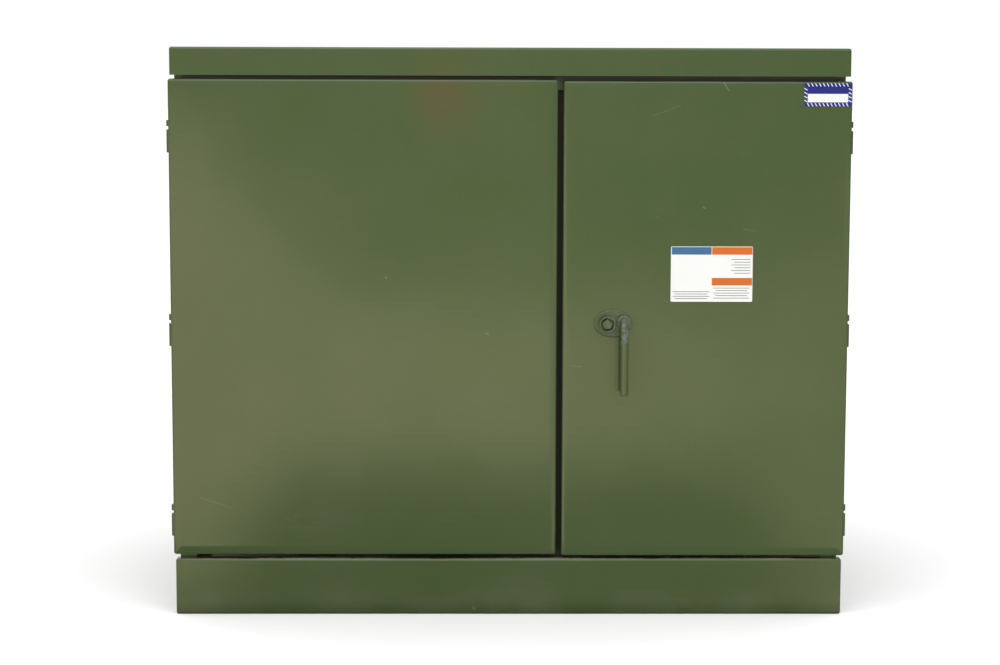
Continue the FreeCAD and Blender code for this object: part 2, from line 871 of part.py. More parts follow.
def right_door():
    """The door that opens first, with holes for the handle's shaft and the lock bolt."""
    made = formed_sheet(
        "right_door", "dims.right_door_width", "dims.door_flange", DOOR_HEIGHT, door_edges, open_back
    )
    holes = sketch_on(made, "XZ_Plane")
    height = f"dims.handle_height - ({DOOR_BOTTOM} - dims.right_door_drop)"
    add_circle(holes, "dims.handle_inset", height, "dims.rod_radius + dims.shaft_fit")
    add_circle(
        holes,
        "dims.handle_inset - dims.lock_spacing",
        f"{height} - dims.lock_drop",
        "dims.bolt_shank_radius + dims.bolt_fit",
    )
    pocket(made, holes, "dims.sheet * 2")
    return place(made, RIGHT_DOOR_LEFT, FACE_Y, f"{DOOR_BOTTOM} - dims.right_door_drop")


def stiffeners(label, left_edge, width, drop, shares):
    """Hat-section stiffeners welded upright inside a door."""
    made = []
    for n, share in enumerate(shares, start=1):
        hat = body(f"{label}_{n}")
        sketch = sketch_on(hat, "XY_Plane")
        wide, narrow = "dims.stiffener_width / 2", "dims.stiffener_width / 4"
        rise = "dims.stiffener_height"
        add_polygon(
            sketch,
            [
                (f"-{wide}", "0"),
                (f"-{narrow} + dims.sheet", "0"),
                (f"-{narrow} + dims.sheet", f"{rise} - dims.sheet"),
                (f"{narrow} - dims.sheet", f"{rise} - dims.sheet"),
                (f"{narrow} - dims.sheet", "0"),
                (wide, "0"),
                (wide, "dims.sheet"),
                (narrow, "dims.sheet"),
                (narrow, rise),
                (f"-{narrow}", rise),
                (f"-{narrow}", "dims.sheet"),
                (f"-{wide}", "dims.sheet"),
            ],
        )
        pad(hat, sketch, f"{DOOR_HEIGHT} - 2 * dims.stiffener_end_gap")
        place(
            hat,
            f"{left_edge} + {width} * {share}",
            f"{FACE_Y} + dims.sheet",
            f"{DOOR_BOTTOM} + dims.stiffener_end_gap - {drop}",
        )
        made.append(hat)
    return group(label, made)


def escutcheon():
    """The boss plate on the right door, with the lock bolt's guard cup and the handle's bearing."""
    made = body("escutcheon")
    plate = sketch_on(made, "XZ_Plane")
    add_ellipse(
        plate,
        "-dims.lock_spacing / 2 - dims.lock_drop",
        "-dims.lock_drop",
        "dims.escutcheon_width",
        "dims.escutcheon_height",
    )
    block = pad(made, plate, "dims.escutcheon_plate")
    front = -number("dims.escutcheon_plate")
    rim = edges(block, lambda e: e.BoundBox.YMax < front + 1e-3)
    fillet(made, block, rim, "dims.escutcheon_edge")
    raised = sketch_on(made, "XZ_Plane")
    add_circle(raised, "-dims.lock_spacing", "-dims.lock_drop", "dims.cup_radius")
    pad(made, raised, "dims.escutcheon_plate + dims.cup_depth")
    bearing = sketch_on(made, "XZ_Plane")
    add_circle(bearing, "0", "0", "dims.bearing_radius")
    block = pad(made, bearing, "dims.escutcheon_plate + dims.bearing_length")
    fronts = [
        -number("dims.escutcheon_plate + dims.cup_depth"),
        -number("dims.escutcheon_plate + dims.bearing_length"),
    ]
    rims = edges(
        block,
        lambda e: any(max(abs(e.BoundBox.YMin - y), abs(e.BoundBox.YMax - y)) < 1e-3 for y in fronts),
    )
    fillet(made, block, rims, "dims.boss_edge")
    cup = sketch_on(made, "XZ_Plane", "dims.escutcheon_plate")
    add_circle(cup, "-dims.lock_spacing", "-dims.lock_drop", "dims.cup_bore")
    pocket(made, cup, "dims.cup_depth + 1", back=True)
    bores = sketch_on(made, "XZ_Plane")
    add_circle(bores, "0", "0", "dims.rod_radius + dims.shaft_fit")
    add_circle(
        bores, "-dims.lock_spacing", "-dims.lock_drop", "dims.bolt_shank_radius + dims.bolt_fit"
    )
    pocket(made, bores, "dims.handle_reach", back=True)
    return place(made, f"{RIGHT_DOOR_LEFT} + dims.handle_inset", FACE_Y, "dims.handle_height")


def lock_bolt():
    """The captive five-sided bolt in the guard cup."""
    made = body("lock_bolt")
    head = sketch_on(made, "XZ_Plane")
    turns = [90 + 72 * k for k in range(5)]
    add_polygon(
        head,
        [
            (f"dims.bolt_head_radius * cos({t} deg)", f"dims.bolt_head_radius * sin({t} deg)")
            for t in turns
        ],
    )
    block = pad(made, head, "dims.bolt_head_height")
    front = -number("dims.bolt_head_height")
    fillet(made, block, edges(block, lambda e: e.BoundBox.YMax < front + 1e-3), "dims.boss_edge")
    shank = sketch_on(made, "XZ_Plane")
    add_circle(shank, "0", "0", "dims.bolt_shank_radius")
    pad(made, shank, "dims.escutcheon_plate + dims.door_flange - dims.sheet", back=True)
    return place(
        made,
        f"{RIGHT_DOOR_LEFT} + dims.handle_inset - dims.lock_spacing",
        f"{FACE_Y} - dims.escutcheon_plate - dims.seat_gap",
        "dims.handle_height - dims.lock_drop",
    )


def handle():
    """The door handle: a round rod that comes out of its bearing and bends down to a plain end."""
    made = body("handle")
    stand = "dims.handle_reach - dims.rod_radius"
    path = sketch_on(made, "YZ_Plane")
    inner = "dims.door_flange - dims.sheet"
    front, radius = number(f"-({stand})"), number("dims.elbow_radius")
    start = FreeCAD.Vector(number(inner), 0, 0)
    bend_in = FreeCAD.Vector(front + radius, 0, 0)
    bend_out = FreeCAD.Vector(front, -radius, 0)
    end = FreeCAD.Vector(front, -number("dims.handle_length"), 0)
    shaft = path.addGeometry(Part.LineSegment(start, bend_in))
    elbow = path.addGeometry(
        Part.ArcOfCircle(
            Part.Circle(FreeCAD.Vector(front + radius, -radius, 0), FreeCAD.Vector(0, 0, 1), radius),
            1.5707963267948966,
            3.141592653589793,
        )
    )
    grip = path.addGeometry(Part.LineSegment(bend_out, end))
    path.addConstraint(Sketcher.Constraint("Tangent", shaft, 2, elbow, 1))
    path.addConstraint(Sketcher.Constraint("Tangent", elbow, 2, grip, 1))
    pin_point(path, shaft, 1, inner, "0")
    pin_point(path, grip, 2, f"-({stand})", "-dims.handle_length")
    path.addConstraint(Sketcher.Constraint("Horizontal", shaft))
    index = path.addConstraint(Sketcher.Constraint("Radius", elbow, radius))
    path.setExpression(f"Constraints[{index}]", "dims.elbow_radius")
    section = sketch_on(made, "XZ_Plane", f"-({inner})")
    add_circle(section, "0", "0", "dims.rod_radius")
    pipe = made.newObject("PartDesign::AdditivePipe", "handle_rod")
    pipe.Profile = section
    pipe.Spine = (path, ["Edge1", "Edge2", "Edge3"])
    DOC.recompute()
    low = pipe.Shape.BoundBox.ZMin
    tip = edges(pipe, lambda e: e.BoundBox.ZMax < low + 1e-3)
    fillet(made, pipe, tip, "dims.rod_radius / 4")
    return place(made, f"{RIGHT_DOOR_LEFT} + dims.handle_inset", FACE_Y, "dims.handle_height")


def latch_cam():
    """The cam on the inner end of the handle's shaft."""
    made = body("latch_cam")
    sketch = sketch_on(made, "XZ_Plane")
    add_slot(sketch, "0", "dims.cam_length", "0", "dims.cam_radius")
    pad(made, sketch, "dims.cam_thickness", back=True)
    bore = sketch_on(made, "XZ_Plane")
    add_circle(bore, "0", "0", "dims.rod_radius + dims.shaft_fit")
    pocket(made, bore, "dims.cam_thickness * 2")
    return place(
        made,
        f"{RIGHT_DOOR_LEFT} + dims.handle_inset",
        f"{FACE_Y} + dims.sheet + dims.cam_gap",
        "dims.handle_height",
    )


# ---------------------------------------------------------------- high-voltage side
HV_FIRST = f"(dims.hv_wall_gap - {BODY_EDGE})"
SWITCH_X = f"({BARRIER_X} - dims.switch_barrier_gap)"


def hv_positions():
    """Six bushing places: three above and three below, the lower row shifted by half a pitch."""
    for n in range(3):
        across = f"({HV_FIRST} + {n} * dims.hv_pitch)"
        yield across, "dims.hv_upper"
        yield f"({across} + dims.hv_row_shift)", "(dims.hv_upper - dims.hv_row_drop)"


def hv_bushings():
    """Bushing wells with their inserts: a clamped flange, a shank, a tapered nose and a contact tip."""
    profile = [
        ("0", "0"),
        ("dims.hv_flange_radius", "0"),
        ("dims.hv_flange_radius", "dims.hv_flange_depth"),
        ("dims.hv_shank_radius", "dims.hv_flange_depth"),
        ("dims.hv_shank_radius", "dims.hv_collar_start"),
        ("dims.hv_collar_radius", "dims.hv_collar_start"),
        ("dims.hv_collar_radius", "dims.hv_collar_end"),
        ("dims.hv_nose_radius", "dims.hv_nose_start"),
        ("dims.hv_tip_radius", "dims.hv_reach"),
        ("0", "dims.hv_reach"),
    ]
    places = enumerate(hv_positions(), start=1)
    return group("hv_bushings", [turned(f"hv_bushing_{n}", profile, x, z) for n, (x, z) in places])


def parking_stands():
    """Bent brackets beside the lower bushings, for parking a cable elbow."""
    made = []
    for n in range(3):
        stand = body(f"parking_stand_{n + 1}")
        sketch = sketch_on(stand, "YZ_Plane")
        add_polygon(
            sketch,
            [
                ("0", "0"),
                ("0", "dims.stand_back"),
                ("-dims.sheet", "dims.stand_back"),
                ("-dims.sheet", "dims.sheet"),
                ("-dims.stand_reach + dims.sheet", "dims.sheet"),
                ("-dims.stand_reach + dims.sheet", "dims.stand_lip"),
                ("-dims.stand_reach", "dims.stand_lip"),
                ("-dims.stand_reach", "0"),
            ],
        )
        pad(stand, sketch, "dims.stand_width", centred=True)
        place(
            stand,
            f"{HV_FIRST} + {n} * dims.hv_pitch + dims.hv_row_shift",
            TANK_Y,
            "dims.hv_upper - dims.hv_row_drop - dims.stand_drop",
        )
        made.append(stand)
    return group("parking_stands", made)


def fuse_holders():
    """Three tilted fuse holders with hook-eye caps, each on a wedge-shaped neck."""
    profile = [
        ("0", "-dims.fuse_root"),
        ("dims.fuse_radius", "-dims.fuse_root"),
        ("dims.fuse_radius", "dims.fuse_cap_start"),
        ("dims.fuse_cap_radius", "dims.fuse_cap_start"),
        ("dims.fuse_cap_radius", "dims.fuse_cap_end"),
        ("dims.fuse_eye_radius", "dims.fuse_reach"),
        ("0", "dims.fuse_reach"),
    ]
    made = []
    for n in range(3):
        across = f"dims.fuse_wall_gap - {BODY_EDGE} + {n} * dims.fuse_pitch"
        holder = turned(f"fuse_holder_{n + 1}", profile, across, "dims.fuse_height")
        made.append(tilt_up(holder, "dims.fuse_tilt", "dims.fuse_root"))
    return made


def switch_handle():
    """The rotary load-break switch's operating hub and its crossbar."""
    made = body("switch_handle")
    hub = sketch_on(made, "XZ_Plane")
    add_circle(hub, "0", "0", "dims.switch_flange_radius")
    pad(made, hub, "dims.switch_flange_depth")
    shaft = sketch_on(made, "XZ_Plane")
    add_circle(shaft, "0", "0", "dims.switch_shaft_radius")
    pad(made, shaft, "dims.switch_reach - dims.switch_bar_depth")
    bar = sketch_on(made, "XZ_Plane", "dims.switch_reach - dims.switch_bar_depth")
    add_slot(bar, "-dims.switch_bar_half", "dims.switch_bar_half", "0", "dims.switch_bar_radius")
    add_circle(bar, "-dims.switch_bar_half", "0", "dims.switch_eye_radius")
    add_circle(bar, "dims.switch_bar_half", "0", "dims.switch_eye_radius")
    pad(made, bar, "dims.switch_bar_depth")
    return place(made, SWITCH_X, TANK_Y, "dims.switch_height")


def tap_changer():
    """The tap changer's hub and its lever."""
    made = body("tap_changer")
    hub = sketch_on(made, "XZ_Plane")
    add_circle(hub, "0", "0", "dims.tap_flange_radius")
    pad(made, hub, "dims.tap_flange_depth")
    shaft = sketch_on(made, "XZ_Plane")
    add_circle(shaft, "0", "0", "dims.tap_shaft_radius")
    pad(made, shaft, "dims.tap_reach - dims.tap_lever_depth")
    lever = sketch_on(made, "XZ_Plane", "dims.tap_reach - dims.tap_lever_depth")
    add_slot(lever, "0", "dims.tap_lever_length", "0", "dims.tap_lever_radius")
    pad(made, lever, "dims.tap_lever_depth")
    return place(made, SWITCH_X, TANK_Y, "dims.tap_height")


# ---------------------------------------------------------------- low-voltage side
LV_FIRST = f"({BARRIER_X} + dims.lv_barrier_gap)"


def lv_positions():
    for n in range(4):
        yield f"({LV_FIRST} + {n} * dims.lv_pitch)", f"(dims.lv_height + {n % 2} * dims.lv_stagger)"


def lv_bushings():
    """Moulded bushings with a flange, a ribbed body and a short stem behind each blade."""
    profile = [
        ("0", "0"),
        ("dims.lv_flange_radius", "0"),
        ("dims.lv_flange_radius", "dims.lv_flange_depth"),
        ("dims.lv_body_radius", "dims.lv_flange_depth"),
    ]
    for shed in ("0", "1"):
        ridge = f"dims.lv_first_shed + {shed} * dims.lv_shed_pitch"
        profile += [
            ("dims.lv_body_radius", f"{ridge} - dims.lv_shed_depth"),
            ("dims.lv_shed_radius", ridge),
            ("dims.lv_body_radius", f"{ridge} + dims.lv_shed_depth"),
        ]
    profile += [("dims.lv_neck_radius", "dims.lv_body_reach"), ("0", "dims.lv_body_reach")]
    places = enumerate(lv_positions(), start=1)
    return group("lv_bushings", [turned(f"lv_bushing_{n}", profile, x, z) for n, (x, z) in places])


def lv_blades():
    """Upright terminal blades with four lug holes each, threaded on to the bushings' stems."""
    made = []
    for n, (across, up) in enumerate(lv_positions(), start=1):
        blade = body(f"lv_blade_{n}")
        sketch = sketch_on(blade, "YZ_Plane")
        half = "dims.blade_height / 2"
        add_rectangle(sketch, "-dims.blade_reach", f"-{half}", "0", half)
        for row in ("-1", "1"):
            for step in ("0", "1"):
                add_circle(
                    sketch,
                    f"-dims.blade_reach + dims.blade_end_inset + {step} * dims.blade_hole_pitch",
                    f"{row} * dims.blade_hole_pitch / 2",
                    "dims.blade_hole_radius",
                )
        pad(blade, sketch, "dims.blade_thickness", centred=True)
        place(blade, across, f"{TANK_Y} - dims.lv_body_reach", up)
        made.append(blade)
    return group("lv_blades", made)


def neutral_strap():
    """The flat strap from the first blade down and back to the tank wall."""
    made = body("neutral_strap")
    sketch = sketch_on(made, "YZ_Plane")
    front = "-(dims.lv_body_reach + dims.strap_lap)"
    back_of_strip = f"{front} + dims.strap_width"
    add_polygon(
        sketch,
        [
            (front, "dims.strap_rise"),
            (front, "-dims.strap_drop"),
            ("0", "-dims.strap_drop"),
            ("0", "-dims.strap_drop + dims.strap_width"),
            (back_of_strip, "-dims.strap_drop + dims.strap_width"),
            (back_of_strip, "dims.strap_rise"),
        ],
    )
    pad(made, sketch, "dims.strap_thickness", back=True)
    return place(made, f"{LV_FIRST} - dims.blade_thickness / 2", TANK_Y, "dims.lv_height")


# ---------------------------------------------------------------- gauges and fittings
def gauges():
    """Three round instruments in a row: liquid level, temperature and tank pressure."""
    radius, reach = "dims.gauge_radius", "dims.gauge_reach"
    profile = [
        ("0", "0"),
        ("dims.gauge_stem_radius", "0"),
        ("dims.gauge_stem_radius", "dims.gauge_stem_reach"),
        (radius, "dims.gauge_stem_reach"),
        (radius, reach),
        (f"{radius} - dims.gauge_bezel", reach),
        (f"{radius} - dims.gauge_bezel", f"{reach} - dims.gauge_recess"),
        ("0", f"{reach} - dims.gauge_recess"),
    ]
    names = ("level_gauge", "thermometer", "pressure_gauge")
    first = f"{BARRIER_X} + dims.gauge_barrier_gap"
    return [
        turned(name, profile, f"{first} + {n} * dims.gauge_pitch", "dims.gauge_height")
        for n, name in enumerate(names)
    ]


def relief_valve():
    """The pressure relief valve: a threaded neck, a wider body and a pull stem."""
    profile = [
        ("0", "0"),
        ("dims.relief_neck_radius", "0"),
        ("dims.relief_neck_radius", "dims.relief_neck"),
        ("dims.relief_body_radius", "dims.relief_neck"),
        ("dims.relief_body_radius", "dims.relief_body"),
        ("dims.relief_stem_radius", "dims.relief_body"),
        ("dims.relief_stem_radius", "dims.relief_reach"),
        ("0", "dims.relief_reach"),
    ]
    return turned("relief_valve", profile, f"{BODY_EDGE} - dims.relief_wall_gap", "dims.relief_height")


def drain_valve():
    """The drain valve: a pipe out of the tank, a valve chest, a spindle with its wheel, and a cap."""
    made = body("drain_valve")
    pipe = sketch_on(made, "XZ_Plane")
    add_circle(pipe, "0", "0", "dims.drain_pipe_radius")
    pad(made, pipe, "dims.drain_pipe")
    chest = sketch_on(made, "XY_Plane")
    add_circle(chest, "0", "-dims.drain_chest_reach", "dims.drain_chest_radius")
    pad(made, chest, "dims.drain_chest_height", centred=True)
    spindle = sketch_on(made, "XY_Plane")
    add_circle(spindle, "0", "-dims.drain_chest_reach", "dims.spindle_radius")
    pad(made, spindle, "dims.spindle_height")
    wheel = sketch_on(made, "XY_Plane", "dims.spindle_height")
    add_circle(wheel, "0", "-dims.drain_chest_reach", "dims.wheel_radius")
    pad(made, wheel, "dims.wheel_height")
    cap = sketch_on(made, "XZ_Plane", "dims.drain_pipe")
    add_circle(cap, "0", "0", "dims.drain_cap_radius")
    pad(made, cap, "dims.drain_cap")
    return place(made, f"{BODY_EDGE} - dims.drain_wall_gap", TANK_Y, "dims.drain_height")


def nameplate():
    """A blank data plate riveted to the tank wall."""
    made = body("nameplate")
    sketch = sketch_on(made, "XZ_Plane")
    add_rectangle(
        sketch,
        "-dims.plate_width / 2",
        "-dims.plate_height / 2",
        "dims.plate_width / 2",
        "dims.plate_height / 2",
    )
    pad(made, sketch, "dims.plate_thickness")
    return place(made, f"{BARRIER_X} + dims.plate_barrier_gap", TANK_Y, "dims.plate_centre")


def ground_pads():
    """Two welded earthing bosses with blind threaded holes, one in each compartment."""
    made = []
    for side, hand in (("-1", "hv"), ("1", "lv")):
        boss = body(f"{hand}_ground_pad")
        disc = sketch_on(boss, "XZ_Plane")
        add_circle(disc, "0", "0", "dims.ground_radius")
        pad(boss, disc, "dims.ground_length")
        hole = sketch_on(boss, "XZ_Plane", "dims.ground_length - dims.ground_thread_depth")
        add_circle(hole, "0", "0", "dims.ground_thread_radius")
        pocket(boss, hole, "dims.ground_thread_depth + 1", back=True)
        place(boss, f"{BARRIER_X} + {side} * dims.ground_barrier_gap", TANK_Y, "dims.ground_height")
        made.append(boss)
    return group("ground_pads", made)


def hold_down_feet():
    """Two angle feet on the tank's front wall with an anchor-bolt hole each."""
    made = []
    for side, hand in (("-1", "left"), ("1", "right")):
        foot = body(f"{hand}_foot")
        angle = sketch_on(foot, "YZ_Plane")
        add_polygon(
            angle,
            [
                ("0", "0"),
                ("-dims.foot_reach", "0"),
                ("-dims.foot_reach", "dims.foot_thickness"),
                ("-dims.foot_thickness", "dims.foot_thickness"),
                ("-dims.foot_thickness", "dims.foot_rise"),
                ("0", "dims.foot_rise"),
            ],
        )
        pad(foot, angle, "dims.foot_width", centred=True)
        hole = sketch_on(foot, "XY_Plane")
        add_circle(hole, "0", "-dims.foot_hole_reach", "dims.foot_hole_radius")
        pocket(foot, hole, "dims.foot_thickness * 2", back=True)
        place(foot, f"{side} * dims.foot_across", TANK_Y, "0")
        made.append(foot)
    return group("hold_down_feet", made)


# ---------------------------------------------------------------- the whole
def build():
    """Every sub-part, in the order of the assembly."""
    drop = "dims.right_door_drop"
    return [
        base_rails(),
        tank(),
        tank_cover(),
        lifting_lugs(),
        radiator("left_radiator", "-1"),
        radiator("right_radiator", "1"),
        side_wall("left_side_wall", "-1"),
        side_wall("right_side_wall", "1"),
        hood(),
        header_rail(),
        roof_upstand(),
        sill(),
        centre_barrier(),
        *hinges("-1", "left"),
        *hinges("1", "right"),
        left_door(),
        stiffeners("left_stiffeners", f"-{DOOR_EDGE}", LEFT_DOOR_WIDTH, "0", ("0.3", "0.7")),
        right_door(),
        stiffeners("right_stiffeners", RIGHT_DOOR_LEFT, "dims.right_door_width", drop, ("0.45", "0.8")),
        escutcheon(),
        lock_bolt(),
        handle(),
        latch_cam(),
        hv_bushings(),
        parking_stands(),
        group("fuse_holders", fuse_holders()),
        switch_handle(),
        tap_changer(),
        lv_bushings(),
        lv_blades(),
        neutral_strap(),
        *gauges(),
        relief_valve(),
        drain_valve(),
        nameplate(),
        ground_pads(),
        hold_down_feet(),
    ]


def check(parts):
    """Stops if any object failed to recompute or any sub-part has no valid solid."""
    DOC.recompute()
    for thing in DOC.Objects:
        if "Invalid" in thing.State or "Error" in thing.State:
            raise RuntimeError(f"{thing.Name} failed: {thing.State}")
    for part in parts:
        if part.Shape.isNull() or not part.Shape.isValid() or not part.Shape.Solids:
            raise RuntimeError(f"{part.Label} has no valid solid")


def export(parts):
    os.makedirs("parts", exist_ok=True)
    for part in parts:
        part.Shape.exportStep(f"parts/{part.Label}.step")


PARTS = build()
check(PARTS)
export(PARTS)
print(f"{len(PARTS)} sub-parts written")
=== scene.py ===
"""A green three-phase pad-mounted transformer: finishes, cooling panels, fasteners, welds and dials on its CAD."""

import math

import bpy
import numpy as np
from mathutils import Matrix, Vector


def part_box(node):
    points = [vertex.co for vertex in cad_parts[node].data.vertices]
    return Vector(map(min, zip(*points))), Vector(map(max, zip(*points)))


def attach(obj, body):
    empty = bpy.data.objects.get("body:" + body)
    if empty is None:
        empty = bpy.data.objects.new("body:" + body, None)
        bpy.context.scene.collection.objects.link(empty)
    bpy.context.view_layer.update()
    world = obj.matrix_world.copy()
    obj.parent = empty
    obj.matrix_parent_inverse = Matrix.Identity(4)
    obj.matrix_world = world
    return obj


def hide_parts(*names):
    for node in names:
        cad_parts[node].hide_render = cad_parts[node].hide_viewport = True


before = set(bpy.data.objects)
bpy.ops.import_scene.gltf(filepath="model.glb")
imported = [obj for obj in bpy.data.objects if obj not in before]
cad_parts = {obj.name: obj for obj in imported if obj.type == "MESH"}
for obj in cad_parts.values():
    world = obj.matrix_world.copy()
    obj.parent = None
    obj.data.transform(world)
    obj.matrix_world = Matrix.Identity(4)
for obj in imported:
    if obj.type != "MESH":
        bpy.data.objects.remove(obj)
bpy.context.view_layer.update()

MM = 0.001
TURN = 2 * math.pi
TO_FRONT = (0, -1, 0)


# ---- surfaces
def loft(rings, looped=False):
    """A skin through equal rings of points, one ring after the other, each joined to the next point for point.
    Open ends are closed with a fan round the mean of their ring; a looped skin joins its last ring to its first."""
    rings = np.asarray(rings, float)
    count, sides = rings.shape[:2]
    at = np.arange(count * sides).reshape(count, sides)
    upper = np.roll(at, -1, axis=0) if looped else at[1:]
    lower = at if looped else at[:-1]
    quads = np.stack([lower, np.roll(lower, -1, 1), np.roll(upper, -1, 1), upper], -1).reshape(-1, 4)
    points, faces = rings.reshape(-1, 3), [quads]
    if not looped:
        points = np.vstack([points, rings[0].mean(0), rings[-1].mean(0)])
        for ring, tip, order in ((at[0], -2, 1), (at[-1], -1, -1)):
            tips = np.full(sides, len(points) + tip)
            fan = np.stack([np.roll(ring, -1), ring, tips], -1)[:, ::order]
            faces.append(np.hstack([fan, np.full((sides, 1), -1)]))
    return outward(points, np.vstack(faces))


def outward(points, faces):
    """The same closed surface with its faces turned so that the volume they enclose is positive."""
    a, b, c = (points[faces[:, k]] for k in range(3))
    volume = np.einsum("ij,ij->", a, np.cross(b, c))
    fourth = faces[:, 3] >= 0
    d = points[faces[fourth, 3]]
    volume += np.einsum("ij,ij->", a[fourth], np.cross(c[fourth], d))
    if volume < 0:
        flipped = faces.copy()
        flipped[fourth] = faces[fourth][:, ::-1]
        flipped[~fourth, :3] = faces[~fourth, 2::-1]
        faces = flipped
    return points, faces


def axes_for(direction):
    """Two unit vectors square to a direction and to each other."""
    along = np.asarray(direction, float) / np.linalg.norm(direction)
    across = np.cross(along, (0, 0, 1) if abs(along[2]) < 0.9 else (1, 0, 0))
    across /= np.linalg.norm(across)
    return along, across, np.cross(along, across)


def spokes(direction, count, start=0.0):
    """A direction, and unit vectors square to it at even angles: cos a times one plus sin a times the other."""
    along, across, over = axes_for(direction)
    angle = start + np.arange(count) * TURN / count
    return along, np.cos(angle)[:, None] * across + np.sin(angle)[:, None] * over


def turned(profile, centre, direction, sides=32, start=0.0, looped=False):
    """A turned part: each (radius, height) of the profile gives one ring of points round the direction,
    radius * (cos a, sin a) out from the axis and height along it."""
    along, spoke = spokes(direction, sides, start)
    radius, height = np.asarray(profile, float).T
    rings = radius[:, None, None] * spoke + height[:, None, None] * along
    return loft(rings + centre, looped)


def swept(path, radius, up, sides=8, looped=False):
    """A bead along a path: at every point a circle of the given radius, square to the path."""
    path = np.asarray(path, float)
    ahead = np.roll(path, -1, 0) - np.roll(path, 1, 0)
    if not looped:
        ahead[0], ahead[-1] = path[1] - path[0], path[-1] - path[-2]
    ahead /= np.linalg.norm(ahead, axis=1, keepdims=True)
    side = np.cross(ahead, up)
    side /= np.linalg.norm(side, axis=1, keepdims=True)
    lift = np.cross(side, ahead)
    angle = np.arange(sides) * TURN / sides
    radius = np.broadcast_to(radius, len(path))[:, None, None]
    cosine, sine = np.cos(angle)[None, :, None], np.sin(angle)[None, :, None]
    return loft(path[:, None] + radius * (cosine * side[:, None] + sine * lift[:, None]), looped)


def rounded_outline(width, height, radius, steps=6, along=0):
    """The outline of a rounded rectangle about the origin: a quarter circle of the radius at each corner in turn,
    with a number of even steps along each straight side between them."""
    quarter = np.linspace(0, math.pi / 2, steps)
    arcs = []
    for k, (sx, sy) in enumerate(((1, 1), (-1, 1), (-1, -1), (1, -1))):
        angle = quarter + k * math.pi / 2
        centre = np.array([sx * (width / 2 - radius), sy * (height / 2 - radius)])
        arcs.append(centre + radius * np.stack([np.cos(angle), np.sin(angle)], -1))
    share = (np.arange(along) + 1)[:, None] / (along + 1)
    parts = []
    for arc, following in zip(arcs, arcs[1:] + arcs[:1]):
        parts += [arc, arc[-1] + (following[0] - arc[-1]) * share]
    return np.vstack(parts)


def stood_up(flat, x, y, z):
    """The points of a flat outline stood up in the x-z plane at a place."""
    return np.stack([x + flat[:, 0], np.full(len(flat), y), z + flat[:, 1]], -1)


def plate(width, height, thickness, radius, centre, edge=0.0, steps=6, along=0, inner=0):
    """A flat plate with rounded corners that faces the front: its outline at the back, again at the front, and once
    more drawn in by the edge radius, then rings that shrink to the middle. Centre is the middle of its back."""
    least_radius, midway = 1e-4, 0.3 * edge
    sections = [(0, 0), (0, thickness - edge)]
    if edge:
        sections += [(midway, thickness - midway), (edge, thickness)]
    rings = []
    for inset, rise in sections:
        corner = max(radius - inset, least_radius)
        flat = rounded_outline(width - 2 * inset, height - 2 * inset, corner, steps, along)
        rings.append(stood_up(flat, 0, -rise, 0))
    middle = np.array([0, -thickness, 0])
    rings += [middle + (rings[-1] - middle) * share for share in np.linspace(1, 0, inner + 2)[1:-1]]
    return loft(np.array(rings) + centre)


def joined(shapes):
    """Several surfaces as one list of points and one list of faces."""
    points, faces, start = [], [], 0
    for p, f in shapes:
        points.append(p)
        faces.append(np.where(f >= 0, f + start, -1))
        start += len(p)
    return np.vstack(points), np.vstack(faces)


def linked(name, data):
    """A new object in the scene."""
    made = bpy.data.objects.new(name, data)
    bpy.context.scene.collection.objects.link(made)
    return made


def piece(name, shapes, body, slot, material=None, replaces=(), smooth=35):
    """A new object made of surfaces, which rides on a CAD body and has its slot's finish or one of its own."""
    points, faces = joined(shapes)
    mesh = bpy.data.meshes.new(name)
    mesh.from_pydata(points.tolist(), [], [[i for i in f if i >= 0] for f in faces.tolist()])
    mesh.polygons.foreach_set("use_smooth", np.ones(len(mesh.polygons), bool))
    mesh.set_sharp_from_angle(angle=math.radians(smooth))
    mesh.materials.append(FINISH[material or slot])
    made = linked(name, mesh)
    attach(made, body)
    if replaces:
        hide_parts(*replaces)


# ---- shader parts
def add(tree, kind, inputs=None, **settings):
    """One shader node, with its settings and with each input linked or set."""
    made = tree.nodes.new("ShaderNode" + kind)
    for key, value in settings.items():
        setattr(made, key, value)
    for key, value in (inputs or {}).items():
        if isinstance(value, bpy.types.NodeSocket):
            tree.links.new(value, made.inputs[key])
        else:
            made.inputs[key].default_value = value
    return made


def maths(tree, operation, first, second=0.5, clamp=False):
    """The value of a sum, product or other operation on two values."""
    return add(tree, "Math", {0: first, 1: second}, operation=operation, use_clamp=clamp).outputs[0]


def times(tree, first, second, clamp=False):
    """The product of two values."""
    return maths(tree, "MULTIPLY", first, second, clamp)


def plus(tree, first, second, clamp=False):
    """The sum of two values."""
    return maths(tree, "ADD", first, second, clamp)


def ramp(tree, value, low, high, start=0.0, end=1.0):
    """The value eased from start, at low, to end, at high."""
    made = add(
        tree, "MapRange",
        {"Value": value, "From Min": low, "From Max": high, "To Min": start, "To Max": end},
        interpolation_type="SMOOTHSTEP",
    )
    return made.outputs["Result"]


def noise(tree, where, scale, detail=3.0, rough=0.55):
    """Soft random values from 0 to 1 at so many per metre."""
    made = add(tree, "TexNoise", {"Vector": where, "Scale": scale, "Detail": detail, "Roughness": rough})
    return made.outputs["Fac"]


def stretched(tree, where, scale, turn=(0.0, 0.0, 0.0)):
    """Coordinates stretched and turned for a pattern with a direction."""
    return add(tree, "Mapping", {"Vector": where, "Scale": scale, "Rotation": turn}).outputs["Vector"]


def vectors(tree, operation, first, second, output="Vector"):
    """The outcome of an operation on two vectors."""
    return add(tree, "VectorMath", {0: first, 1: second}, operation=operation).outputs[output]


def along_axis(tree, vector, letter):
    """One of a vector's three parts."""
    return add(tree, "SeparateXYZ", {0: vector}).outputs[letter]


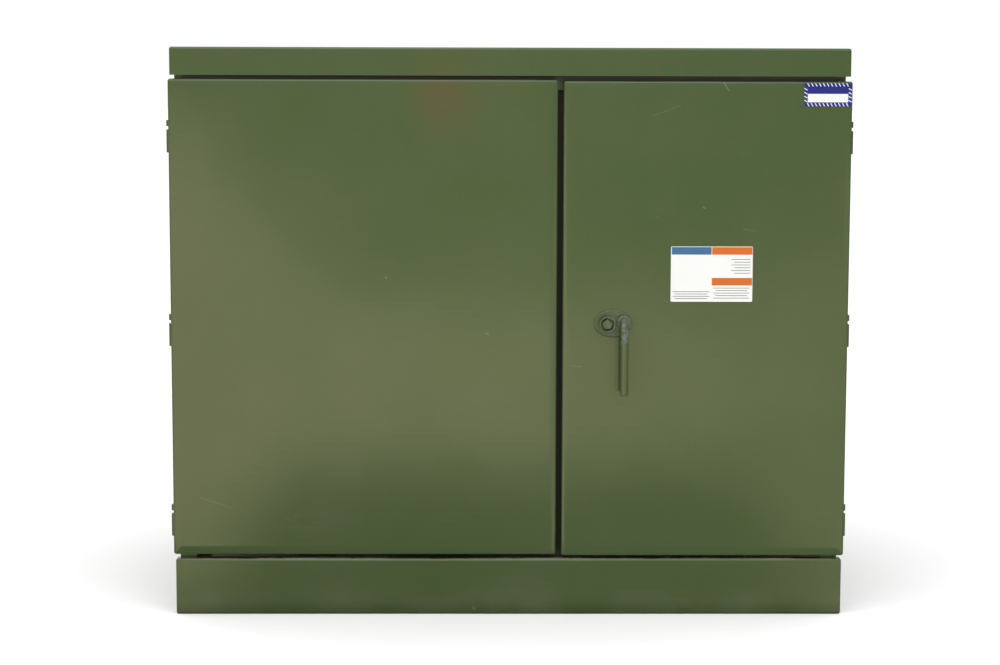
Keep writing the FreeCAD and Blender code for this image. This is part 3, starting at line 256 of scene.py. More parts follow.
def mixed(tree, factor, first, second):
    """Two colours mixed by a factor: in a colour mix, 6 and 7 are the colours' inputs and 2 is the output."""
    return add(tree, "Mix", {0: factor, 6: first, 7: second}, data_type="RGBA").outputs[2]


def object_place(tree):
    """The place on the object, in metres."""
    return add(tree, "TexCoord").outputs["Object"]


GROUPS = {}


def effect(output, **inputs):
    """Makes a shared node group, with named inputs and one output, from a function of its tree, its inputs and the
    place on the object. The group's name is what follows "make_" in the function's."""
    def build(make):
        name = make.__name__.removeprefix("make_")
        GROUPS[name] = tree = bpy.data.node_groups.new(name, "ShaderNodeTree")
        for label, value in inputs.items():
            kind = "NodeSocketVector" if isinstance(value, tuple) else "NodeSocketFloat"
            tree.interface.new_socket(label, in_out="INPUT", socket_type=kind).default_value = value
        tree.interface.new_socket(output, in_out="OUTPUT", socket_type="NodeSocketFloat")
        given, wanted = tree.nodes.new("NodeGroupInput").outputs, tree.nodes.new("NodeGroupOutput").inputs
        tree.links.new(make(tree, given, object_place(tree)), wanted[output])
        return make
    return build


@effect("value", scale=2.0, amount=1.0)
def make_mottle(tree, given, where):
    """Slow cloudy variation: broad noise plus a little fine noise, centred on zero and times the amount."""
    broad = noise(tree, where, given["scale"], 2.0)
    fine = noise(tree, where, times(tree, given["scale"], 14.0), 4.0)
    total = plus(tree, times(tree, broad, 0.7), times(tree, fine, 0.3))
    return times(tree, maths(tree, "SUBTRACT", total, 0.5), given["amount"])


@effect("mask", width=0.002, amount=0.5, patch_scale=18.0)
def make_edge_wear(tree, given, where):
    """Rubbed edges, and on the lock and handle a painted edge highlight: how far the surface turns away from its
    own rounded normal, broken up by noise.
    """
    soft = add(tree, "Bevel", {"Radius": given["width"]}, samples=4).outputs["Normal"]
    flat = add(tree, "NewGeometry").outputs["Normal"]
    bent = ramp(tree, vectors(tree, "DOT_PRODUCT", soft, flat, "Value"), 0.985, 0.86)
    patches = ramp(tree, noise(tree, where, given["patch_scale"], 5.0, 0.65), 0.48, 0.62)
    return times(tree, times(tree, bent, patches), given["amount"], True)


@effect("mask", density=0.5, amount=0.5)
def make_scuffs(tree, given, where):
    """Thin scratches and small rubbed spots: narrow bands of stretched noise in two directions, kept to patches."""
    cells = add(tree, "TexVoronoi", {"Vector": where, "Scale": 9.0}).outputs
    chance = add(tree, "SeparateColor", {"Color": cells["Color"]}).outputs["Red"]
    size = times(tree, ramp(tree, chance, 0.9, 1.0), given["density"])
    total = maths(tree, "LESS_THAN", cells["Distance"], times(tree, size, 0.03))
    for turn, seed in (((0.0, 0.9, 0.35), 0.0), ((0.0, -0.55, 0.2), 7.3)):
        shifted = vectors(tree, "ADD", where, (seed, seed, seed))
        lines = noise(tree, stretched(tree, shifted, (3.0, 3.0, 160.0), turn), 1.0, 1.0)
        thin = ramp(tree, maths(tree, "ABSOLUTE", maths(tree, "SUBTRACT", lines, 0.5)), 0.006, 0.0)
        patch = noise(tree, shifted, 5.5, 1.0)
        kept = ramp(tree, plus(tree, patch, times(tree, given["density"], 0.2)), 0.80, 0.84)
        total = maths(tree, "MAXIMUM", total, times(tree, thin, kept))
    return times(tree, total, given["amount"], True)


@effect("mask", on_top=0.5, at_foot=0.5, foot_height=0.25)
def make_dust(tree, given, where):
    """Dust that lies on faces that look up, and a dirtier foot close to the ground, both broken up by noise."""
    up = along_axis(tree, add(tree, "NewGeometry").outputs["Normal"], "Z")
    cloud = ramp(tree, noise(tree, where, 6.0, 6.0, 0.6), 0.3, 0.75)
    top = times(tree, ramp(tree, up, 0.6, 1.0), given["on_top"])
    share = maths(tree, "DIVIDE", along_axis(tree, where, "Z"), given["foot_height"])
    foot = times(tree, ramp(tree, share, 1.0, 0.0), given["at_foot"])
    return times(tree, plus(tree, top, foot), cloud, True)


@effect("mask", start=(0, 0, 0), end=(0, 0, 1), width=0.001)
def make_scratch(tree, given, where):
    """One straight scratch: the distance to the line from its start to its end, thin and broken up by noise."""
    out = vectors(tree, "SUBTRACT", where, given["start"])
    line = vectors(tree, "SUBTRACT", given["end"], given["start"])
    ahead, whole = (vectors(tree, "DOT_PRODUCT", v, line, "Value") for v in (out, line))
    share = maths(tree, "DIVIDE", ahead, whole, True)
    foot = add(tree, "VectorMath", {0: line, "Scale": share}, operation="SCALE").outputs["Vector"]
    gap = vectors(tree, "DISTANCE", out, foot, "Value")
    thin = ramp(tree, maths(tree, "DIVIDE", gap, given["width"]), 1.0, 0.35)
    return times(tree, thin, ramp(tree, noise(tree, where, 170.0, 2.0), 0.36, 0.5))


@effect("height", scale=400.0)
def make_peel(tree, given, where):
    """The fine ripple of sprayed paint or moulded plastic: two sizes of noise as a height."""
    slow = noise(tree, where, times(tree, given["scale"], 0.02), 2.0)
    return plus(tree, noise(tree, where, given["scale"], 2.0), times(tree, slow, 4.0))


@effect("value", scale=90.0)
def make_spangle(tree, given, where):
    """Zinc crystals: cells with a random shade each."""
    cells = add(tree, "TexVoronoi", {"Vector": where, "Scale": given["scale"]}).outputs["Color"]
    return add(tree, "SeparateColor", {"Color": cells}).outputs["Red"]


@effect("value", scale=1.0)
def make_brush(tree, given, where):
    """Fine lines left by brushing or rolling: noise drawn out along x."""
    return noise(tree, stretched(tree, where, (6.0, 900.0, 900.0)), given["scale"], 3.0)


def placed(tree, name, **values):
    """A shared effect placed in a material with its own values, as its only output."""
    made = tree.nodes.new("ShaderNodeGroup")
    made.node_tree = GROUPS[name]
    for key, value in values.items():
        made.inputs[key].default_value = value
    return made.outputs[0]


def rgb(red, green, blue):
    """A linear colour with its fourth value."""
    return (red, green, blue, 1.0)


FINISH = {}


def blank_material(name):
    """A material with nothing but its Principled shader, kept by its name."""
    FINISH[name] = made = bpy.data.materials.new(name)
    made.use_nodes = True
    return made.node_tree, made.node_tree.nodes["Principled BSDF"]


def feed(tree, shader, values, height, depth):
    """Links a shader's values, and bumps its normal by a height times a depth."""
    bump = add(tree, "Bump", {"Height": height, "Distance": depth})
    for key, value in dict(values, Normal=bump.outputs["Normal"]).items():
        tree.links.new(value, shader.inputs[key])


DUST = rgb(0.33, 0.30, 0.22)


def coated(
    name, colour, second, gloss, mottle=(1.6, 1.0), wear=(0.0016, 0.5), under=rgb(0.20, 0.21, 0.17),
    scuff=(0.5, 0.4), dust=(0.4, 0.35, 0.25), peel=(420.0, 0.00002), specular=0.5, patch=None
):
    """A painted, moulded or printed surface: colour clouds, rubbed edges, scratches, dust, and a fine ripple. On the
    lock and handle its rubbed edges are a painted highlight.
    Mottle is its scale and amount; wear its width and amount; scuff its density and amount; dust its share on top,
    its share at the foot and the foot's height; peel its scale and depth."""
    tree, shader = blank_material(name)
    cloud = plus(tree, placed(tree, "mottle", scale=mottle[0], amount=mottle[1]), 0.5, True)
    tint = mixed(tree, cloud, colour, second)
    if patch:
        tint = patch(tree, tint)
    wear_and_highlight_mask = placed(tree, "edge_wear", width=wear[0], amount=wear[1])
    marks = placed(tree, "scuffs", density=scuff[0], amount=scuff[1])
    dusty = placed(tree, "dust", on_top=dust[0], at_foot=dust[1], foot_height=dust[2])
    rubbed = rgb(*(min(1.0, 1.6 * c + 0.03) for c in colour[:3]))
    tint = mixed(tree, wear_and_highlight_mask, tint, under)
    tint = mixed(tree, marks, tint, rubbed)
    tint = mixed(tree, dusty, tint, DUST)
    rough = plus(tree, placed(tree, "mottle", scale=5.0, amount=0.08), gloss)
    for mask, more in ((wear_and_highlight_mask, 0.3), (marks, 0.2), (dusty, 0.4)):
        rough = plus(tree, rough, times(tree, mask, more), True)
    height = maths(tree, "SUBTRACT", placed(tree, "peel", scale=peel[0]), times(tree, marks, 2.0))
    feed(tree, shader, {"Base Color": tint, "Roughness": rough}, height, peel[1])
    shader.inputs["Specular IOR Level"].default_value = specular


def metal(name, colour, tarnish, gloss, pattern="brush", scale=1.0, spread=0.25, depth=0.00002):
    """Bare metal: brushed lines or crystals in its colour and gloss, with tarnish in clouds and dust."""
    tree, shader = blank_material(name)
    grain = placed(tree, pattern, scale=scale)
    cloud = ramp(tree, plus(tree, placed(tree, "mottle", scale=14.0, amount=1.4), 0.5), 0.35, 0.8)
    dusty = placed(tree, "dust", on_top=0.4, at_foot=0.3, foot_height=0.25)
    darker = rgb(*(c * 0.72 for c in colour[:3]))
    tint = mixed(tree, cloud, mixed(tree, grain, darker, colour), tarnish)
    tint = mixed(tree, dusty, tint, DUST)
    rough = plus(tree, plus(tree, times(tree, grain, spread), gloss), times(tree, cloud, 0.2))
    rough = plus(tree, rough, times(tree, dusty, 0.3), True)
    bare = maths(tree, "SUBTRACT", 1.0, dusty, True)
    feed(tree, shader, {"Base Color": tint, "Roughness": rough, "Metallic": bare}, grain, depth)


# The doors' front plane; each scratch's two ends on it, as x and z; its width.
FRONT = -0.606
SCRATCHES = (
    ((0.382, 1.366), (0.455, 1.393), 0.0011),
    ((0.571, 1.456), (0.585, 1.434), 0.0022),
    ((-0.842, 0.324), (-0.756, 0.297), 0.0008),
    ((-0.066, 0.778), (-0.060, 0.776), 0.0035),
    ((-0.337, 0.930), (-0.334, 0.928), 0.0035),
    ((0.520, 1.121), (0.526, 1.118), 0.0030),
    ((0.630, 1.062), (0.664, 1.056), 0.0012),
    ((0.168, 0.690), (0.196, 0.686), 0.0010),
    ((-0.099, 0.018), (-0.095, 0.016), 0.0040),
)


def primer_patch(tree, tint):
    """The paint's own marks: a few light scratches and chips on the front, and a faint reddish-brown bloom high on
    the wide door and on the hood above it, where the primer shows."""
    for (x0, z0), (x1, z1), width in SCRATCHES:
        mark = placed(tree, "scratch", start=(x0, FRONT, z0), end=(x1, FRONT, z1), width=width)
        tint = mixed(tree, times(tree, mark, 0.45), tint, rgb(0.15, 0.18, 0.105))
    where = object_place(tree)
    near = vectors(tree, "DISTANCE", where, (-0.175, FRONT, 1.41), "Value")
    bloom = ramp(tree, plus(tree, near, placed(tree, "mottle", scale=9.0, amount=0.12)), 0.15, 0.02)
    on_front = ramp(tree, along_axis(tree, where, "Y"), FRONT + 2.2 * MM, FRONT + 1.2 * MM, 0.0, 0.55)
    return mixed(tree, times(tree, bloom, on_front), tint, rgb(0.068, 0.046, 0.021))


def splashed_foot(tree, tint):
    """The enamel's own marks, and painted shade along the foot, darkest at the ground and fading out a hand's width
    above it.
    """
    height = along_axis(tree, object_place(tree), "Z")
    # Painted shade: the sill darkens towards the ground.
    foot_shade = ramp(tree, height, 0.045, 0.0, 0.0, 0.42)
    ground_line_shade = ramp(tree, height, 0.005, 0.0, 0.0, 0.35)
    return mixed(tree, plus(tree, foot_shade, ground_line_shade), primer_patch(tree, tint), rgb(0.006, 0.008, 0.003))


def rubbed_lock(tree, tint):
    """A painted blue-grey highlight on the lock and the elbow of the handle: a ball's fading mask, broken up."""
    where = object_place(tree)
    away = vectors(tree, "DISTANCE", where, (0.308, FRONT - 0.05, 0.806), "Value")
    broken = ramp(tree, noise(tree, where, 95.0, 4.0, 0.7), 0.40, 0.58)
    mask = times(tree, ramp(tree, away, 0.075, 0.022, 0.0, 0.75), broken)
    return mixed(tree, mask, tint, rgb(0.090, 0.118, 0.112))


def enamel(name, patch, on_top):
    """The cabinet's green enamel, with its own patch of marks and its share of dust on faces that look up. On the
    sill the patch paints shade along the foot, and the large share on top is dust and painted light on its top face.
    """
    coated(
        name, rgb(0.0345, 0.0540, 0.0180), rgb(0.0440, 0.0605, 0.0262), 0.09, mottle=(3.2, 1.6),
        wear=(0.0012, 0.25), under=rgb(0.16, 0.18, 0.12), dust=(on_top, 0.05, 0.12), patch=patch
    )


def printed(name, colour, second, gloss, wear=0.1):
    """Printed vinyl."""
    dust, peel = (0, 0, 0.1), (260.0, 0.00002)
    coated(name, colour, second, gloss, wear=(0.0006, wear), scuff=(0.1, 0.1), dust=dust, peel=peel)


def dial_print(name, colour, second, gloss):
    """Print behind glass, which neither rubs nor scratches."""
    dust, peel = (0.2, 0, 0.1), (500.0, 0.00001)
    coated(name, colour, second, gloss, wear=(0.0004, 0.0), scuff=(0, 0), dust=dust, peel=peel)


# The lock and handle's enamel carries a painted highlight: its blue-grey edge colour (under) and the patch round the
# lock and elbow are highlights painted in.
coated(
    "lock_enamel_with_highlight", rgb(0.0350, 0.0520, 0.0190), rgb(0.0430, 0.0590, 0.0250), 0.16, mottle=(9.0, 1.5),
    wear=(0.0022, 0.85), under=rgb(0.110, 0.140, 0.135), dust=(0.3, 0.05, 0.12), patch=rubbed_lock
)
enamel("green_enamel", primer_patch, 0.14)
# The sill's patch paints shade along its foot, and its large dust share on top is partly painted light on the top
# face seen under the doors.
enamel("sill_enamel", splashed_foot, 0.7)
coated(
    "black_enamel", rgb(0.010, 0.0095, 0.009), rgb(0.017, 0.016, 0.014), 0.42, dust=(0.4, 0.5, 0.12),
    wear=(0.0012, 0.2), under=rgb(0.06, 0.055, 0.05), specular=0.3
)
coated("yellow_enamel", rgb(0.62, 0.40, 0.035), rgb(0.70, 0.46, 0.05), 0.3)
coated(
    "elbow_rubber", rgb(0.030, 0.030, 0.031), rgb(0.045, 0.044, 0.042), 0.5,
    wear=(0.0010, 0.15), scuff=(0.3, 0.3), peel=(900.0, 0.00003)
)
coated(
    "grey_resin", rgb(0.33, 0.33, 0.32), rgb(0.40, 0.395, 0.375), 0.33,
    wear=(0.0008, 0.15), under=rgb(0.5, 0.49, 0.46), scuff=(0.2, 0.2), peel=(700.0, 0.00002)
)
coated(
    "gauge_case", rgb(0.028, 0.030, 0.033), rgb(0.045, 0.047, 0.050), 0.35,
    wear=(0.0010, 0.35), under=rgb(0.45, 0.45, 0.44), peel=(800.0, 0.00002)
)
metal("galvanised_sheet", rgb(0.56, 0.58, 0.60), rgb(0.40, 0.41, 0.41), 0.30, "spangle", 90.0, 0.22, 0.00001)
metal("stainless", rgb(0.58, 0.57, 0.55), rgb(0.44, 0.42, 0.39), 0.22)
metal("valve_bronze", rgb(0.46, 0.31, 0.14), rgb(0.20, 0.15, 0.08), 0.32)
metal("tinned_copper", rgb(0.66, 0.63, 0.58), rgb(0.42, 0.30, 0.20), 0.26)
metal("zinc_bolt", rgb(0.50, 0.49, 0.46), rgb(0.30, 0.27, 0.22), 0.30)
printed("sticker_white", rgb(0.54, 0.54, 0.53), rgb(0.50, 0.50, 0.485), 0.30)
printed("sticker_slate", rgb(0.026, 0.082, 0.185), rgb(0.030, 0.088, 0.195), 0.32)
printed("sticker_orange", rgb(0.42, 0.080, 0.004), rgb(0.40, 0.085, 0.006), 0.32)
printed("sticker_blue", rgb(0.002, 0.004, 0.125), rgb(0.003, 0.006, 0.140), 0.30)
printed("sticker_ink", rgb(0.06, 0.065, 0.07), rgb(0.09, 0.095, 0.10), 0.35, 0.0)
dial_print("dial_white", rgb(0.78, 0.78, 0.74), rgb(0.72, 0.72, 0.66), 0.45)
dial_print("dial_black", rgb(0.02, 0.02, 0.02), rgb(0.03, 0.03, 0.03), 0.5)

# The CAD nodes of each finish; the others are green enamel.
CAD_FINISH = {
    # The centre barrier is black as painted shade: it darkens the gap between the doors.
    "black_enamel": ("base_rails", "hold_down_feet", "centre_barrier"),
    "galvanised_sheet": ("parking_stands", "latch_cam"),
    "sill_enamel": ("sill",),
    "lock_enamel_with_highlight": ("escutcheon", "handle", "lock_bolt"),
    "valve_bronze": ("drain_valve",),
    "stainless": ("ground_pads", "nameplate", "relief_valve"),
    "elbow_rubber": ("hv_bushings",),
    "grey_resin": ("lv_bushings", "fuse_holders"),
    "tinned_copper": ("lv_blades", "neutral_strap"),
    "gauge_case": ("level_gauge", "thermometer", "pressure_gauge"),
    "yellow_enamel": ("switch_handle", "tap_changer"),
}
finish_of = {node: finish for finish, nodes in CAD_FINISH.items() for node in nodes}
for cad_name, cad_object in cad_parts.items():
    cad_object.data.materials.clear()
    cad_object.data.materials.append(FINISH[finish_of.get(cad_name, "green_enamel")])


def span(node):
    """The lowest and highest corner of a CAD node as arrays."""
    low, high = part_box(node)
    return np.array(low), np.array(high)


# ---- cooling panels
def fluted_panel(x, low, high, y_root, y_edge, half_edge, half_flute, flutes=5):
    """A pressed cooling panel that stands in the y-z plane. Its half thickness is the flat seam's plus, between
    seams, the flute's share of sin squared across the depth, eased to nothing near the top and bottom edges."""
    rim = 0.06
    end_zone, flat_end, run_out = 0.05, 0.008, 0.036
    share = np.linspace(0, 1, 10 * flutes + 1)
    inner = np.clip((share - rim) / (1 - 2 * rim), 0, 1)
    wave = (np.sin(math.pi * flutes * inner) ** 2) ** 0.7 * (share > rim) * (share < 1 - rim)
    height = np.concatenate([
        np.linspace(low, low + end_zone, 8)[:-1],
        np.linspace(low + end_zone, high - end_zone, 14),
        np.linspace(high - end_zone, high, 8)[1:],
    ])
    ease = np.clip(np.minimum(height - low - flat_end, high - flat_end - height) / run_out, 0, 1)
    ease = ease * ease * (3 - 2 * ease)
    half = half_edge + (half_flute - half_edge) * ease[:, None] * wave
    y = np.broadcast_to(y_root + (y_edge - y_root) * share, half.shape)
    z = np.broadcast_to(height[:, None], half.shape)
    right, left = np.stack([x + half, y, z], -1), np.stack([x - half, y, z], -1)
    return loft(np.concatenate([right, left[:, ::-1]], 1))


def domed_pipe(radius, start, end):
    """A pipe with a shallow domed cap at each end: quarter-ellipse rings, 0.45 of the radius high, then the wall."""
    along = np.subtract(end, start)
    angle = np.linspace(0.12, math.pi / 2, 6)
    cap = np.stack([radius * np.sin(angle), radius * 0.45 * (1 - np.cos(angle))], -1)
    far = np.stack([cap[::-1, 0], np.linalg.norm(along) - cap[::-1, 1]], -1)
    return turned(np.vstack([cap, far]), start, along, 28)


def weld_ring(centre, direction, radius, size):
    """A round weld bead: a small circle carried round a larger one, its radius rising and falling at each ripple."""
    ripples = max(12, round(TURN * radius / (7 * MM)))
    along, spoke = spokes(direction, ripples * 4)
    bead = size * (1 + 0.14 * np.sin(np.arange(ripples * 4) * TURN / (ripples * 4) * ripples))
    return swept(radius * spoke + centre, bead, along, 6, looped=True)


def weld_line(corners, up, size):
    """A weld bead straight from corner to corner, with a ripple at every third point, 3 mm apart."""
    corners, path = np.array(corners, float), []
    for a, b in zip(corners[:-1], corners[1:]):
        count = max(2, int(np.linalg.norm(b - a) / (9 * MM / 3)))
        path.append(a + (b - a) * (np.arange(count) / count)[:, None])
    path = np.vstack(path + [corners[-1:]])
    bead = size * (1 + 0.13 * np.sin(np.arange(len(path)) * TURN / 3 + 0.5))
    return swept(path, bead, up, 6)


PANELS = 9
PANEL_DEPTH = 0.175
PIPE, STUB, FLANGE = 0.0318, 0.0254, 0.044


def radiator_bank(name, node):
    """A bank of pressed panels between two header pipes, with flanged stub pipes, weld rings and tie bars."""
    low, high = span(node)
    middle, wall, y_edge = (low[0] + high[0]) / 2, low[1], high[1]
    end_room, pipe_inset, tie_inset = 0.0413, 0.070, 0.36
    pitch = (high[0] - low[0] - end_room) / (PANELS - 1)
    y_root = y_edge - PANEL_DEPTH
    y_pipe = (y_root + y_edge) / 2
    places = middle + (np.arange(PANELS) - (PANELS - 1) / 2) * pitch
    shapes = [fluted_panel(x, low[2], high[2], y_root, y_edge, 1.6 * MM, 6.0 * MM) for x in places]
    tube = [(STUB, 0.0), (STUB, y_pipe - wall)]
    flange = [(STUB, 0.0), (FLANGE, 0.0), (FLANGE, 0.011), (FLANGE - MM, 0.012), (STUB, 0.012)]
    for z in (low[2] + pipe_inset, high[2] - pipe_inset):
        shapes.append(domed_pipe(PIPE, (low[0] + 0.5 * MM, y_pipe, z), (high[0] - 0.5 * MM, y_pipe, z)))
        for x in places:
            for side in (-1, 1):
                shapes.append(weld_ring((x + side * 4.2 * MM, y_pipe, z), (1, 0, 0), PIPE + 0.8 * MM, 2.8 * MM))
        for x in (middle - 0.155, middle + 0.155):
            shapes.append(turned(tube, (x, wall, z), (0, 1, 0), 28))
            shapes.append(turned(flange, (x, wall + 0.5 * MM, z), (0, 1, 0), 32))
            shapes.append(weld_ring((x, wall + 13.5 * MM, z), (0, 1, 0), STUB + 0.8 * MM, 3 * MM))
    for z in (low[2] + tie_inset, high[2] - tie_inset):
        tie = [(places[0] - 8 * MM, y_edge - 4 * MM, z), (places[-1] + 8 * MM, y_edge - 4 * MM, z)]
        shapes.append(swept(tie, 3.5 * MM, (0, 0, 1), 10))
    piece(name, shapes, "cabinet", "green_enamel", replaces=(node,))


radiator_bank("left_cooling_panels", "left_radiator")
radiator_bank("right_cooling_panels", "right_radiator")


# ---- fasteners and welds
def hex_head(centre, direction, across_flats, height, turn=0.0):
    """A six-sided bolt head with its corners cut back, four rings of six points, on a round washer."""
    r = across_flats / math.sqrt(3)
    base = 1.6 * MM
    head = [(r, base), (r, base + height * 0.82), (r * 0.93, base + height), (r * 0.86, base + height)]
    washer = [(r * 1.42, 0.0), (r * 1.42, base * 0.8), (r * 1.38, base)]
    return [turned(head, centre, direction, 6, turn), turned(washer, centre, direction, 24)]


def stud_end(centre, across_flats):
    """A nut on a washer with its stud standing through it, its end cut back by a millimetre."""
    radius, reach = across_flats * 0.3, across_flats
    stud = [(radius, 0.0), (radius, reach - MM), (across_flats * 0.25, reach)]
    nut = hex_head(centre, TO_FRONT, across_flats, across_flats * 0.45)
    return nut + [turned(stud, centre, TO_FRONT, 16)]


def rivet(centre, radius=0.0028):
    """A domed rivet head: most of a quarter of an ellipse, 0.6 as high as wide, turned about its axis."""
    angle = np.linspace(0, 0.92 * math.pi / 2, 5)
    profile = np.stack([radius * np.cos(angle), 0.6 * radius * np.sin(angle)], -1)
    return turned(profile, centre, TO_FRONT, 16)


def cover_bolts():
    """Bolt heads round the tank cover, one at every even step along its rear and its two sides."""
    low, high = span("tank_cover")
    inset, far_inset, front_inset = 0.013, 0.06, 0.09
    rear = np.linspace(low[0] + far_inset, high[0] - far_inset, 15)
    sides = np.linspace(low[1] + front_inset, high[1] - far_inset, 5)
    spots = [(x, high[1] - inset) for x in rear]
    spots += [(x, y) for x in (low[0] + inset, high[0] - inset) for y in sides]
    shapes = []
    for k, (x, y) in enumerate(spots):
        shapes += hex_head((x, y, high[2]), (0, 0, 1), 0.019, 0.008, k * 0.7)
    piece("cover_bolts", shapes, "cabinet", "stainless", "zinc_bolt")


def tank_welds():
    """Weld beads round the tank under its cover and at its foot, and up both edges of each lifting eye."""
    low, high = span("tank")
    corner, start, plate_thickness = 0.035, low[1] + 0.065, 0.014
    half_round = [(0.0, corner), (corner * 0.3, corner * 0.3), (corner, 0.0)]
    outline = [(low[0], start)] + [(low[0] + dx, high[1] - dy) for dx, dy in half_round]
    outline += [(high[0] - dx, high[1] - dy) for dx, dy in half_round[::-1]] + [(high[0], start)]
    shapes = []
    for z in (high[2] - 3 * MM, low[2] + 3 * MM):
        shapes.append(weld_line([(x, y, z) for x, y in outline], (0, 0, 1), 3.6 * MM))
    eyes_low, eyes_high = span("lifting_lugs")
    edges = (eyes_low[1], eyes_low[1] + plate_thickness, eyes_high[1] - plate_thickness, eyes_high[1])
    for side, x in ((-1, low[0] - 0.5 * MM), (1, high[0] + 0.5 * MM)):
        for y in edges:
            ends = [(x, y, eyes_low[2] + 4 * MM), (x, y, eyes_high[2] - 4 * MM)]
            shapes.append(weld_line(ends, (side, 0, 0), 3 * MM))
    piece("tank_welds", shapes, "cabinet", "green_enamel")


cover_bolts()
tank_welds()


# ---- inside the cabinet
def bar(start, end, half, low_y, high_y):
    """A flat strip in the x-z plane from start to end, its half width to each side, between two depths."""
    side = (end - start)[::-1] * (-1, 1) / np.linalg.norm(end - start) * half
    corners = np.array([start - side, end - side, end + side, start + side])
    return loft([np.insert(corners, 1, y, axis=1) for y in (high_y, low_y)])


def numeral(text, size, x, y, z):
    """A number's flat outline, centred at a place and turned to face the front."""
    curve = bpy.data.curves.new("numeral", "FONT")
    curve.body, curve.size, curve.align_x, curve.align_y = text, size, "CENTER", "CENTER"
    written = bpy.data.objects.new("numeral", curve)
    mesh = bpy.data.meshes.new_from_object(written)
    mesh.calc_loop_triangles()
    flat = np.array([vertex.co for vertex in mesh.vertices])
    faces = np.array([[*triangle.vertices, -1] for triangle in mesh.loop_triangles])
    bpy.data.objects.remove(written)
    return stood_up(flat, x, y, z), faces


def on_circle(x, z, radius, degrees):
    """The place on a circle, clockwise from straight up as the front sees it."""
    a = math.radians(degrees)
    return np.array([x + radius * math.sin(a), z + radius * math.cos(a)])


def tick(x, z, degrees, inner, outer, half, low_y, high_y):
    """A strip that lies along a circle's spoke, between two radii."""
    return bar(on_circle(x, z, inner, degrees), on_circle(x, z, outer, degrees), half, low_y, high_y)


def gauge_dial(node, numbers, reading, sweep=135.0):
    """A pale dial in a gauge's case with its pointer, numbers, and ticks at even angles between two circles."""
    low, high = span(node)
    x, z = (low[0] + high[0]) / 2, (low[2] + high[2]) / 2
    recess, thickness, ink, radius = 3.8 * MM, 1.2 * MM, 0.2 * MM, 42.8 * MM
    disc = [(radius, 0.0), (radius, thickness - 0.4 * MM), (radius - 0.4 * MM, thickness)]
    shape = turned(disc, (x, low[1] + recess, z), TO_FRONT, 48)
    piece(node + "_dial", [shape], "cabinet", "gauge_case", "dial_white")
    y = low[1] + recess - thickness
    marks = []
    for k, angle in enumerate(np.linspace(-sweep, sweep, 10 * (len(numbers) - 1) + 1)):
        inner, half = (34.5, 0.5) if k % 10 == 0 else (36.5 if k % 5 == 0 else 38.0, 0.25)
        marks.append(tick(x, z, angle, inner * MM, 40.5 * MM, half * MM, y - ink, y))
    for label, angle in zip(numbers, np.linspace(-sweep, sweep, len(numbers))):
        at = on_circle(x, z, 28.5 * MM, angle)
        marks.append(numeral(label, 8.5 * MM, at[0], y - ink, at[1]))
    marks.append(tick(x, z, reading, -10 * MM, 33 * MM, 0.9 * MM, y - 1.6 * MM, y - MM))
    boss = [(4.2 * MM, 0.0), (4.2 * MM, 2.0 * MM), (3.4 * MM, 2.6 * MM)]
    marks.append(turned(boss, (x, y, z), TO_FRONT, 24))
    piece(node + "_marks", marks, "cabinet", "gauge_case", "dial_black")


def flange_studs(x, z, y, radius, angles, across_flats):
    """Nuts on studs at the given angles round a bushing's flange."""
    spots = [on_circle(x, z, radius, a) for a in angles]
    return sum([stud_end((at[0], y, at[1]), across_flats) for at in spots], [])


def bushing_nuts():
    """Four nuts on studs through the flange of each high-voltage bushing and six through each low-voltage one.
    Each bushing's middle is its flange's radius in from the ends of its row."""
    low, high = span("hv_bushings")
    wall, radius, pitch = high[1], 0.048, 0.185
    shapes = []
    for k in range(3):
        x = low[0] + radius + pitch * k
        for cx, cz in ((x, high[2] - radius), (x + 0.092, low[2] + radius)):
            shapes += flange_studs(cx, cz, wall - 0.016, 0.0425, range(45, 360, 90), 0.008)
    low, high = span("lv_bushings")
    radius, pitch = 0.062, 0.165
    for k in range(4):
        z = high[2] - radius if k % 2 else low[2] + radius
        shapes += flange_studs(low[0] + radius + pitch * k, z, wall - 0.017, 0.0545, range(0, 360, 60), 0.009)
    piece("bushing_nuts", shapes, "cabinet", "stainless", "zinc_bolt")


def position_plates():
    """Round plates behind the switch handle and the tap changer, with a mark and number at each position. Each row
    is the node, how far its hub's middle is from its right end, the hub's and the plate's radius, and the angles."""
    plates, marks = [], []
    rows = (
        ("switch_handle", 0.071, 0.045, 0.066, (-60, 60)),
        ("tap_changer", 0.0755, 0.038, 0.056, (-80, -40, 0, 40, 80)),
    )
    for node, reach, hub, radius, angles in rows:
        low, high = span(node)
        x, wall, z = high[0] - reach, high[1], (low[2] + high[2]) / 2
        hole, rim, face = hub + 0.5 * MM, radius - 0.5 * MM, 1.5 * MM
        ring = [(hole, 0.0), (radius, 0.0), (radius, face - 0.4 * MM), (rim, face), (hole, face)]
        plates.append(turned(ring, (x, wall, z), TO_FRONT, 56, looped=True))
        for number, degrees in enumerate(angles, 1):
            marks.append(tick(x, z, degrees, hub + MM, hub + 5 * MM, 0.8 * MM, wall - 1.8 * MM, wall - face))
            at = on_circle(x, z, hub + 12.5 * MM, degrees)
            marks.append(numeral(str(number), 11.5 * MM, at[0], wall - 1.7 * MM, at[1]))
    piece("position_plates", plates, "cabinet", "stainless")
    piece("position_marks", marks, "cabinet", "gauge_case", "dial_black")


def data_plate_rivets():
    """A domed rivet at each corner of the blank data plate, and a shallow frame bead inside its edge."""
    low, high = span("nameplate")
    def corners(inset):
        left, right, foot, top = low[0] + inset, high[0] - inset, low[2] + inset, high[2] - inset
        return [(left, low[1], foot), (right, low[1], foot), (right, low[1], top), (left, low[1], top)]
    shapes = [rivet(at) for at in corners(0.010)]
    shapes.append(swept(np.array(corners(0.022)), 0.7 * MM, (0, 1, 0), 6, looped=True))
    piece("data_plate_rivets", shapes, "cabinet", "stainless")


